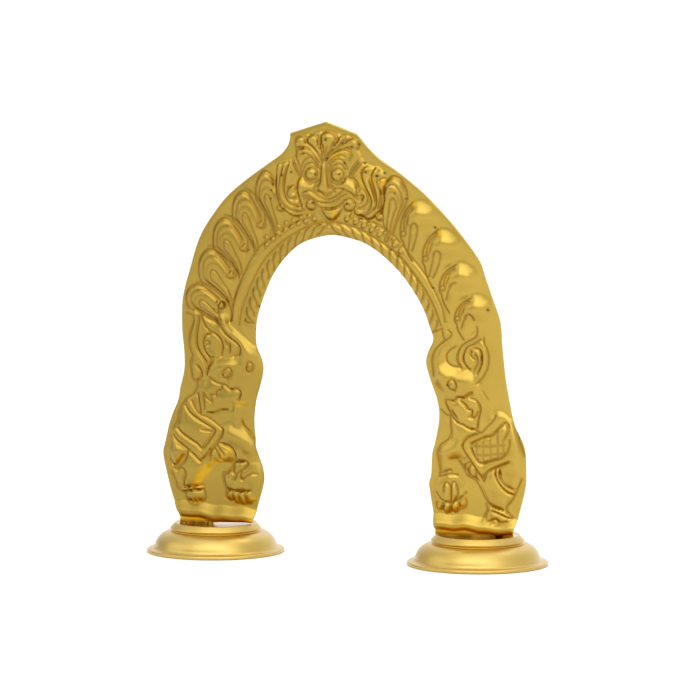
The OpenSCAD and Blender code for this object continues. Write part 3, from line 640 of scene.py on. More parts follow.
# In the figures a mound has its shoulder, rise and outline, and a ridge or a swelling has its width,
# rise and route. Grooves and fine lines are routes alone.
maskSketch = {
    "bite": 0.85,    # its lines are shallower and its forms fuller
    "swell": 1.3,
    # centre, radius of the ball and of the line round it, shoulder, rise
    "eyes": [((310.8, 174), 6.0, 6.2, 2.0, 0.8), ((337, 175), 6.3, 6.55, 2.0, 0.8)],
    "swellings": [(5.0, 0.5, [(301, 188), (312, 190)]), (5.0, 0.5, [(346, 187), (355, 191)])],
    "mounds": [
        # the whole mask with its plumes and mane
        (1.5, 1.1, [(293, 140), (297, 135), (306, 134), (313, 132.5), (326, 130), (335, 132.5), (345, 135),
            (355, 137), (360.5, 142), (360, 153), (366, 164), (376, 167), (384, 174), (385, 188),
            (383, 203), (378, 214), (368, 220), (356, 215), (343, 214), (333, 221), (326, 220), (317, 213),
            (305, 214), (297, 218), (287, 214.5), (279, 207), (274.5, 196), (275, 180), (275.5, 168),
            (280, 161.5), (290, 159), (294, 154)]),
        (3.0, 0.6, [(297, 150), (310, 146), (325, 150), (342, 146), (352, 152), (354, 165), (353, 178),
            (358, 190), (356, 203), (345, 213), (335, 218), (325, 218), (313, 213), (302, 209), (297, 198),
            (296, 185), (300, 172), (297, 160)]),
        # cheeks and nose
        (2.5, 0.7, [(300, 178), (304, 182), (312, 184), (316, 187), (312, 190.5), (304, 191), (299, 196),
            (296.5, 187)]),
        (2.5, 0.8, [(336, 186), (344, 179), (350, 178), (356, 182), (358, 190), (356, 198), (350, 193),
            (342, 189)]),
        (2, 1.4, [(321, 167), (324, 163), (326, 166), (327.5, 176), (330, 186), (329, 193), (322, 193),
            (317, 189), (319.5, 181)]),
        # tongue and the curls at the ends of the lip
        (1.5, 0.6, [(320, 207), (328, 209), (337, 207.5), (342, 209), (338, 216), (334, 220), (330, 220.5),
            (326, 217), (322, 211)]),
        (2, 0.8, [(305, 204.5), (307, 200.5), (311, 199.5), (315.5, 202), (316.5, 206.5), (313, 210.5),
            (308, 210)]),
        (2, 0.9, [(342, 205), (344, 200.5), (348.5, 199), (353, 201), (354.3, 205.5), (352, 210),
            (347.5, 211.5), (343.7, 209.5)]),
        # five plumes
        (1.8, 1.1, [(294, 148), (294, 141), (296.5, 136.8), (301, 135.8), (304.8, 138), (305.5, 143),
            (309, 147), (303, 148)]),
        (1.8, 1.1, [(306.5, 142), (307.5, 137), (311, 134.5), (315, 135), (317.8, 138.5), (318.3, 145),
            (320.5, 153), (315, 150)]),
        (2.2, 1.3, [(320, 142), (320, 135.5), (323, 132), (328, 131), (333, 133), (336, 137), (334.5, 143),
            (329, 148), (325.5, 156), (323, 155)]),
        (1.6, 1.0, [(336.5, 142), (338, 137), (341.5, 135.3), (344, 138), (342.5, 142.5), (337, 147),
            (330, 152.5)]),
        (1.8, 1.1, [(345, 142), (349, 138.7), (354.5, 138.2), (358.5, 141.5), (359, 147), (356, 150.5),
            (349, 148), (341, 148)]),
        # leaves beside the eyes
        (1.2, 0.7, [(291.5, 159.5), (295, 158.5), (299, 166), (301.5, 173.5), (300, 177), (296.5, 173),
            (293, 167)]),
        (2, 0.9, [(347.5, 176), (351, 167), (356, 160), (361, 156.5), (364, 161), (361, 168.5),
            (356.5, 176), (351.5, 180)]),
    ],
    "ridges": [
        # lips, brows, and the strands of both manes
        (2.4, 0.6, [(303, 194.5), (308, 193.3), (314, 196.5), (320, 200), (327, 201), (334, 199.5),
            (340, 195.7), (346, 192.7)]),
        (1.8, 0.4, [(306, 197.5), (313, 201), (320, 205), (328, 206.3), (336, 205), (342, 201)]),
        (2.2, 0.6, [(299, 151.5), (304.5, 150.5), (310, 153), (315, 157.5), (318.5, 162.5)]),
        (2.2, 0.6, [(328, 161.5), (333, 155.5), (338.5, 152.5), (344, 151.5), (348.5, 153.5), (349, 158)]),
        (2.8, 1.0, [(278.5, 166), (277.5, 178), (277.5, 190), (280.5, 201.5), (287.5, 210), (296, 214),
            (303, 213)]),
        (2.4, 0.9, [(285, 165), (282, 176), (281, 188), (283.5, 199), (290, 206), (298, 208.5),
            (303.5, 208)]),
        (2.2, 0.7, [(290, 163.5), (287.5, 174), (286, 184), (286, 193), (290.5, 201.5), (297, 203)]),
        (2.6, 0.8, [(293, 187.5), (289.5, 191), (290.5, 196), (294.5, 196.5)]),
        (2.6, 1.0, [(366, 168), (364.5, 176), (367.5, 186), (371, 194), (373, 202), (371, 209.5),
            (364.5, 214), (357, 213.5)]),
        (2.8, 1.1, [(376, 170.5), (374, 178), (377, 188), (379, 197), (378, 207), (374, 214.5),
            (367, 218)]),
        (2.8, 0.8, [(357.5, 193), (361.5, 191), (365.5, 195.5), (365.5, 202), (361, 206), (355, 207)]),
    ],
    "grooves": [
        # round the plumes
        [(294.5, 157), (294.8, 150), (294, 143), (294.5, 138.5), (298, 136), (302, 136), (305, 138),
            (305.5, 143)],
        [(306, 143), (307, 137.5), (311, 134.5), (315, 135), (318, 138.5), (318.5, 145)],
        [(320.5, 143), (320, 139), (320.5, 134.5), (325, 131.5), (331, 132), (335.5, 136), (335.5, 142)],
        [(337, 142), (338.5, 137), (341.5, 135.3), (344, 138)],
        [(345, 142), (348.5, 138.8), (354, 138), (358, 140.5), (359, 146), (357, 150)],
        # hair that runs together above the nose
        [(305.5, 143), (310, 146), (315, 151), (319, 157), (322, 163)],
        [(318.5, 143), (319.5, 148), (321.5, 154), (323.2, 161)],
        [(335.5, 141), (332, 146.5), (328, 152), (325, 159)],
        [(344, 139), (341, 144), (335, 148.5), (329, 154.5), (325.5, 161)],
        [(312, 147.5), (317, 153), (321, 159.5)], [(326.5, 147), (325.3, 153), (324.2, 160)],
        [(322.5, 146), (323.3, 153)],
        # brows
        [(298, 148.5), (304, 147.8), (308, 149.5), (312, 153), (316, 157.5), (319.5, 162.5)],
        [(300, 155), (305, 153.3), (310, 156), (314.5, 160.5), (317.5, 165.5)],
        [(326, 161.5), (330, 156.5), (333, 153.5), (338, 150.3), (343, 149), (348, 150), (350.7, 153),
            (350.5, 157), (348.5, 161)],
        [(328, 164), (331.5, 159.5), (336, 156.3), (341, 155.3), (345, 157)],
        # lids and nose
        [(301.5, 166.5), (303.5, 161), (308, 157.8), (313, 158.8), (317, 163.3), (319.3, 169)],
        [(302.5, 171.5), (304.8, 165.5), (309, 162.8), (313.5, 163.3), (317.5, 168)],
        [(329, 168.5), (331.5, 162.5), (336.5, 159), (342, 160.3), (345.5, 164), (347.5, 169)],
        [(330, 171), (333, 166), (338, 163.8), (342.5, 165.5), (345.3, 170)],
        [(303.3, 176.5), (306, 181.5), (311, 183.2), (316, 181.8), (318.5, 178)],
        [(329.5, 178.5), (332.5, 183), (338, 184.5), (343, 182), (345.7, 177)],
        [(320.8, 166), (320.5, 173), (319.5, 181), (318, 184.5), (315, 186), (314, 189.5), (316, 191.5),
            (319, 190.8)],
        [(326, 164.5), (327.7, 172), (328.5, 180), (330, 188), (333, 189), (335, 192)],
        [(316, 191.5), (321, 193), (323, 195), (326, 196), (329, 194.5), (332, 192), (335, 192.5)],
        # cheeks
        [(302, 174), (298, 179), (296, 188), (297.5, 194), (299, 201), (302, 208), (305, 210.5)],
        [(343.3, 178.8), (348, 177.3), (354, 180), (357.5, 187.5), (357, 195)],
        [(329, 183), (332, 186.5), (336, 188.5), (342, 189.5), (347, 191), (351, 193.5), (354, 197),
            (357, 200)],
        # lips, their curls and the tongue
        [(303, 192.5), (307, 191), (311, 191), (315, 193.5), (319, 197), (324, 199), (330, 198.7),
            (336, 195.8), (341, 192.3)],
        [(302.5, 195.5), (308, 196), (313, 199), (319, 202), (326, 203), (332, 202), (337, 199),
            (342, 195.8), (347, 194)],
        [(304, 197.5), (308, 198.5), (312, 201), (316, 204), (320, 207), (327, 208.5), (332, 208.3),
            (337, 207), (342, 203)],
        [(316.5, 204), (312.5, 199.8), (308, 200.5), (305.5, 204.5), (307.5, 209.5), (312, 210.8),
            (315.5, 208), (314.5, 204.5), (311.5, 204)],
        [(342, 204), (344, 199.8), (348.5, 198.5), (353, 200.5), (354.8, 205.5), (352, 210.7), (347.5, 212),
            (343.7, 209.7), (344, 206), (347, 203.5), (350, 205)],
        [(320.5, 207.5), (323, 212), (326, 217), (329, 220), (333, 220.5), (337, 217.5), (340, 213),
            (342, 209)],
        # left mane
        [(275, 168), (276, 178), (275.5, 190), (278.5, 203), (285.5, 212), (293, 216.8), (301, 216)],
        [(282, 168), (280, 178), (279, 189), (281.3, 200.5), (288, 208.5), (296, 211.7), (303, 210.5)],
        [(288.5, 163), (285.5, 173), (283.8, 182), (284, 193), (287.5, 202), (294, 205.8), (302, 205.5)],
        [(296.5, 189), (293, 185.5), (288.5, 187.5), (287.3, 193.5), (291, 198.5), (295.5, 197),
            (295.8, 193)],
        [(291.5, 160), (294, 167), (297.3, 173.5), (300.3, 177.3)],
        [(295.2, 158.5), (299, 166), (301.7, 173.3)],
        [(293.5, 160), (297, 168), (300.5, 175)],
        # right mane and the leaf beside the eye
        [(348.5, 178), (350, 172), (353, 166), (360, 158)],
        [(352, 179.5), (354, 173), (358, 167), (362, 162.5)],
        [(350, 179), (352, 172.5), (356, 166), (361, 160)],
        [(366, 166), (362, 169.5), (360.5, 174), (361, 179.5), (363.5, 185), (367, 191), (370, 197),
            (371.5, 203), (370, 209), (366, 213.5), (361, 215)],
        [(374, 169), (371.5, 173), (370.5, 179), (373, 190), (376, 202), (374.5, 208), (366, 215.5),
            (360, 217)],
        [(385, 178), (379, 179.5), (377.5, 184), (381, 191), (383, 199), (380.5, 210), (377, 214)],
        [(360, 217), (366, 219), (371, 219), (376, 216)],
        [(357, 197), (357.5, 192), (362, 189), (367, 193.5), (368, 200), (364.5, 206), (358, 208.5)],
        [(360.5, 200.5), (361, 196.5), (363.5, 196.5)],
    ],
}

leftBeastSketch = {
    "mounds": [
        # the whole beast
        (4.0, 1.5, [(219, 301), (217.5, 309), (218, 319), (221, 330), (228, 338), (236, 344), (238.5, 350),
            (233, 356), (222, 356), (212, 358), (207, 367), (204, 378), (196, 383), (193.5, 392),
            (185, 399), (178, 410), (175, 422), (169, 433), (166, 446), (167, 458), (170, 470), (174, 483),
            (180, 493), (184, 501), (191, 505), (201, 504), (205, 498), (203, 490), (203, 483), (211, 468),
            (221, 463), (230, 465), (223, 472), (221, 481), (224, 490), (224, 498), (233, 503),
            (243, 505.5), (252, 503.5), (258, 496), (262, 483), (262, 472), (257.5, 459), (254, 442),
            (253, 425), (253.5, 410), (257, 396), (260.5, 382), (262, 368), (259, 356), (254, 347.5),
            (246, 340.5), (236, 332), (229, 325), (228.5, 315), (227, 306), (223, 300)]),
        # plumes behind the head
        (1.6, 0.8, [(184, 311), (189, 304), (195, 309), (203, 314), (212, 320), (219, 325), (226, 336),
            (236, 343), (239, 350), (233, 357), (220, 358), (209, 362), (205, 375), (200, 381), (192, 381),
            (188.5, 370), (190, 357), (187.5, 345), (188, 332), (191.5, 320), (190, 314.5)]),
        # trunk head
        (4.0, 0.5, [(238, 349), (245, 342.5), (254, 349), (260, 358), (262, 370), (260, 384), (255, 396),
            (246, 400), (240, 397), (238.5, 391), (232, 388), (232, 372), (233, 360)]),
        # second head
        (3.4, 0.4, [(205, 375), (207, 367), (210, 361), (214, 358), (222, 357), (230, 355.5), (233, 360),
            (232.5, 372), (231.5, 387), (224, 385), (216, 382.5), (209, 378)]),
        # jaw
        (3.4, 0.35, [(201, 389), (205, 381), (210, 381), (216, 384.5), (224, 386.5), (230, 390.5),
            (237, 390.5), (239, 394), (237.5, 401), (233, 404), (227, 409.5), (218, 411), (207, 412.5),
            (201, 414), (198, 404)]),
        # ear
        (1.6, 0.7, [(191, 357), (189, 362), (189, 368), (191, 375), (192, 380), (196, 381), (199.5, 378),
            (199.5, 372), (197, 366), (195, 360)]),
        # eyes
        (0.9, 0.5, [(225, 374), (226, 370), (229, 369), (230.5, 372), (229, 376), (226.5, 377.5)]),
        (0.9, 0.5, [(246.5, 368), (247.5, 364), (250, 363.5), (251.5, 367), (249.5, 371), (247, 371)]),
        # cloth over the back
        (2.6, 0.6, [(183, 405), (190, 414), (200, 421.5), (211, 428.5), (214, 431), (210, 438), (202, 448),
            (195, 442), (186, 437), (178, 430), (175, 425), (178, 413)]),
        # haunch, thigh, folds at the hip
        (3.0, 1.1, [(173, 437), (180, 444.5), (186, 449.5), (184, 455), (179, 461.5), (173.5, 465),
            (169.5, 460), (167, 452), (169, 443)]),
        (4.0, 1.2, [(188, 451), (200, 461), (209, 455), (214, 462), (207, 469), (199, 480), (191, 485.5),
            (183, 487), (182, 482), (184.5, 473), (181, 468), (184, 461)]),
        (1.6, 0.7, [(214, 446), (218, 442.5), (224, 445), (230, 448), (234, 455), (230, 461), (222, 463),
            (214, 461.5), (209.5, 456), (210, 450)]),
        # chest
        (5.0, 0.6, [(233, 406), (240, 405), (241, 421), (246, 429), (253.5, 437), (255, 446), (256.5, 455),
            (251, 461), (243, 461), (235, 457), (233, 449), (227, 445), (223, 439), (224, 430),
            (229, 418)]),
        # hind foot
        (1.8, 1.0, [(183.5, 491.5), (193, 490), (202, 489.5), (203.5, 496), (202, 502), (196, 504.5),
            (189, 503.5), (185, 498)]),
        # fore foot, its cuff and toes
        (3.0, 0.9, [(222, 473), (226, 470), (231, 468), (233.5, 461.5), (246, 461), (256, 462), (261, 471),
            (261.5, 481), (259, 492), (255.5, 500), (250, 504), (242, 505), (236, 504), (229, 501),
            (224, 496), (224.5, 489), (221.5, 479)]),
        (1.5, 0.6, [(233, 462), (239, 461), (246, 462), (246, 468), (240, 472), (235, 475), (232.5, 470)]),
        (1.3, 0.6, [(222.5, 474), (225, 471), (227.5, 475), (228.5, 483), (228, 489), (225, 489),
            (222.5, 482)]),
        (1.5, 0.6, [(227, 472), (231, 469), (235, 474), (234, 482), (234, 490), (229.5, 490),
            (228.5, 482)]),
        (1.6, 0.7, [(235, 477), (241, 472), (242, 480), (246, 482), (248, 490), (240, 491), (235.5, 490)]),
        (1.2, 0.8, [(225, 491), (231, 491), (231.5, 498), (228, 500.5), (225, 497)]),
        (1.2, 0.8, [(232.5, 492), (237.5, 492.5), (238, 500), (235, 504), (232.5, 499)]),
        (1.2, 0.8, [(238.5, 493), (243.5, 493), (245, 500), (242, 505), (239, 501)]),
        (1.2, 0.8, [(245, 492), (251, 492), (255.5, 499), (251, 503.5), (246.5, 502)]),
    ],
    "ridges": [
        # neck, trunk, plume strands, the folded arm band, shank and anklet
        (4.0, 0.8, [(235, 404), (236, 413), (237, 423)]),
        (4.0, 0.9, [(220.5, 305), (220.5, 316), (223, 325), (228, 332)]),
        (3.0, 0.7, [(186, 308), (191, 309), (194.5, 315), (194, 325), (191.5, 336), (191.5, 345),
            (195, 355), (202, 365)]),
        (2.0, 0.5, [(202, 318), (209, 326), (217, 332), (223, 339), (225, 350)]),
        (2.6, 0.5, [(206, 337), (204.5, 343), (207, 351), (212, 356)]),
        (3.4, 0.5, [(187, 402), (193, 410.5), (203, 419), (213, 425), (218, 430), (214, 438), (207, 447),
            (202, 454.5), (194, 449), (185, 443), (177, 436), (173, 431)]),
        (2.4, 0.9, [(171, 467), (175, 474), (178, 482), (182, 489)]),
        (1.9, 0.9, [(182.5, 489.5), (192, 488.3), (202, 487.5)]),
    ],
    "grooves": [
        [(185, 313), (189, 314), (192, 317.5), (191, 324), (188.5, 331), (187.5, 338), (187.8, 346),
            (191, 356)],
        [(197.5, 316), (197, 322), (196, 328), (195, 335), (195, 343), (197, 350.5), (203, 360),
            (206.5, 366)],
        [(191, 303), (194, 308), (198, 312), (204, 317), (210, 319.8), (217.5, 321)],
        [(200, 316), (203.5, 326), (208, 331), (214, 334.5), (219, 340), (221, 347), (220, 356)],
        [(209, 334.5), (204, 335), (201.7, 340.5), (202, 347), (205, 354), (210, 360)],
        [(205, 341), (207.5, 341.5), (207.5, 344), (205.5, 345.5)],
        [(219.5, 301), (217, 307), (218.3, 315), (218, 322), (221.5, 330.5), (228, 338), (236, 344),
            (238.7, 349), (237, 354), (233, 356.5)],
        [(224, 340), (226, 346)], [(228, 344), (228, 353)],
        [(213, 357), (209, 361.5), (206.5, 368), (205, 374)],
        [(228.5, 306), (229.5, 315), (228, 322)],
        [(223, 378), (222.5, 374), (225, 369.5), (229, 367.8), (231.5, 371), (230.5, 375.5), (227, 379),
            (223, 378)],
        [(246.5, 371), (245.8, 367), (247.5, 363.2), (250.5, 362.6), (252.5, 366), (251.5, 370.5),
            (248.5, 372.6), (246.5, 371)],
        [(191, 356), (188.8, 362), (189.5, 370), (191, 378), (195, 381.3), (199.5, 378.5), (199.7, 372),
            (195, 365)],
        [(208.5, 377.5), (213, 381.5), (219, 384), (224, 385), (229, 389), (236, 389), (239.5, 393),
            (237.5, 401)],
        [(221, 386), (220.5, 389.5), (216, 391), (215.5, 396)], [(209.5, 394.5), (214, 394.5)],
        [(210.5, 397), (211, 402)],
        [(206, 413), (215, 412.5), (221, 410.3), (228, 410)],
        [(196, 393), (198.5, 403), (200, 415)], [(202, 393), (203.2, 401), (204, 409)],
        [(203, 393), (206, 398), (210, 401.5)],
        [(196, 381), (195, 388), (191.5, 394.5), (185.5, 398), (181, 404), (177.5, 411), (175.7, 420),
            (171.5, 429)],
        [(190.5, 401), (194, 407.5), (199.5, 414.5), (206, 417), (213, 421.5), (219.5, 427), (222.5, 431),
            (219, 438.5), (214.5, 446), (208, 453), (200, 461), (194, 456), (188, 450.5), (180, 444),
            (175, 439.5), (172, 434.5)],
        [(183.5, 404), (188, 411.5), (195, 418), (204, 423.5), (211, 428), (214.5, 431), (210, 438),
            (202, 449), (197, 444.5), (190, 440), (182, 434), (175, 427)],
        [(201, 429.5), (208, 431), (213, 432)],
        [(217, 442), (223, 444.5), (229, 447), (233, 451.5), (234.6, 457), (232.5, 463), (230, 468)],
        [(213, 447.5), (217, 452), (219.5, 459.5)], [(216.5, 445.5), (220.5, 450.5), (224, 455)],
        [(209, 450), (209.5, 461)],
        [(240.8, 420), (243, 426), (248, 432), (254, 438.5)],
        [(187, 450), (186, 456), (183, 461.5), (178, 467.5), (175, 470)],
        [(168.5, 458.5), (171, 462.5), (173.5, 465.5), (178, 463), (183, 456)],
        [(173, 467), (175.5, 470), (181, 468), (184.5, 473), (183, 480), (182, 487)],
        [(170, 472), (174, 480.5), (176.5, 488.5), (183, 493)],
        [(182, 487.4), (192, 486.2), (202, 485.4)], [(183, 491.8), (192, 490.2), (202, 489.6)],
        [(183.5, 492), (185.5, 500), (190, 504), (197, 504.6), (203, 501), (204, 495), (202.5, 489.5)],
        [(190, 499.5), (191.5, 503.5)], [(194.5, 500), (196, 504)], [(199, 499.5), (201, 503)],
        [(234, 461), (240, 461.3), (247, 463), (246, 468), (239, 472.5), (233, 480)],
        [(231, 469), (234.5, 474)],
        [(247, 463.5), (242, 471.5), (241, 477), (242.5, 480), (247, 476.5), (251, 474), (256, 474)],
        [(230, 468), (227, 470.5), (225.5, 473), (222, 472.5), (221.3, 478), (223, 485), (225, 489.5),
            (224, 496), (229, 501), (232.5, 500)],
        [(225, 489.5), (233, 491), (242, 492), (250, 491)],
    ],
    "fineLines": [
        [(232, 403), (238, 404), (246, 404.3)], [(234.5, 404), (233, 407), (231.7, 411)],
        [(232, 491.5), (232.7, 500)], [(238, 493), (238.3, 502)], [(244, 493), (245.5, 502.5)],
        [(224.5, 373), (226, 372.5)], [(248, 367), (249.3, 366.5)],
    ],
    "swellings": [
        # trunk, right eye's socket, second head, jaw, cloth, haunch, chest and fore foot
        (9.0, 1.3, [(222, 322), (228, 332), (237, 342), (248, 354)]), (7.0, 0.6, [(247, 372), (249, 365)]),
        (9.5, 1.2, [(210, 372), (219, 368), (230, 367)]), (7.0, 0.6, [(222, 399), (234, 398)]),
        (10.0, 0.6, [(186, 426), (200, 437)]), (8.0, 0.8, [(175, 456), (178, 450)]),
        (11.0, 1.8, [(229, 434), (240, 440), (252, 447)]), (8.0, 0.5, [(240, 475), (250, 479)]),
    ],
}

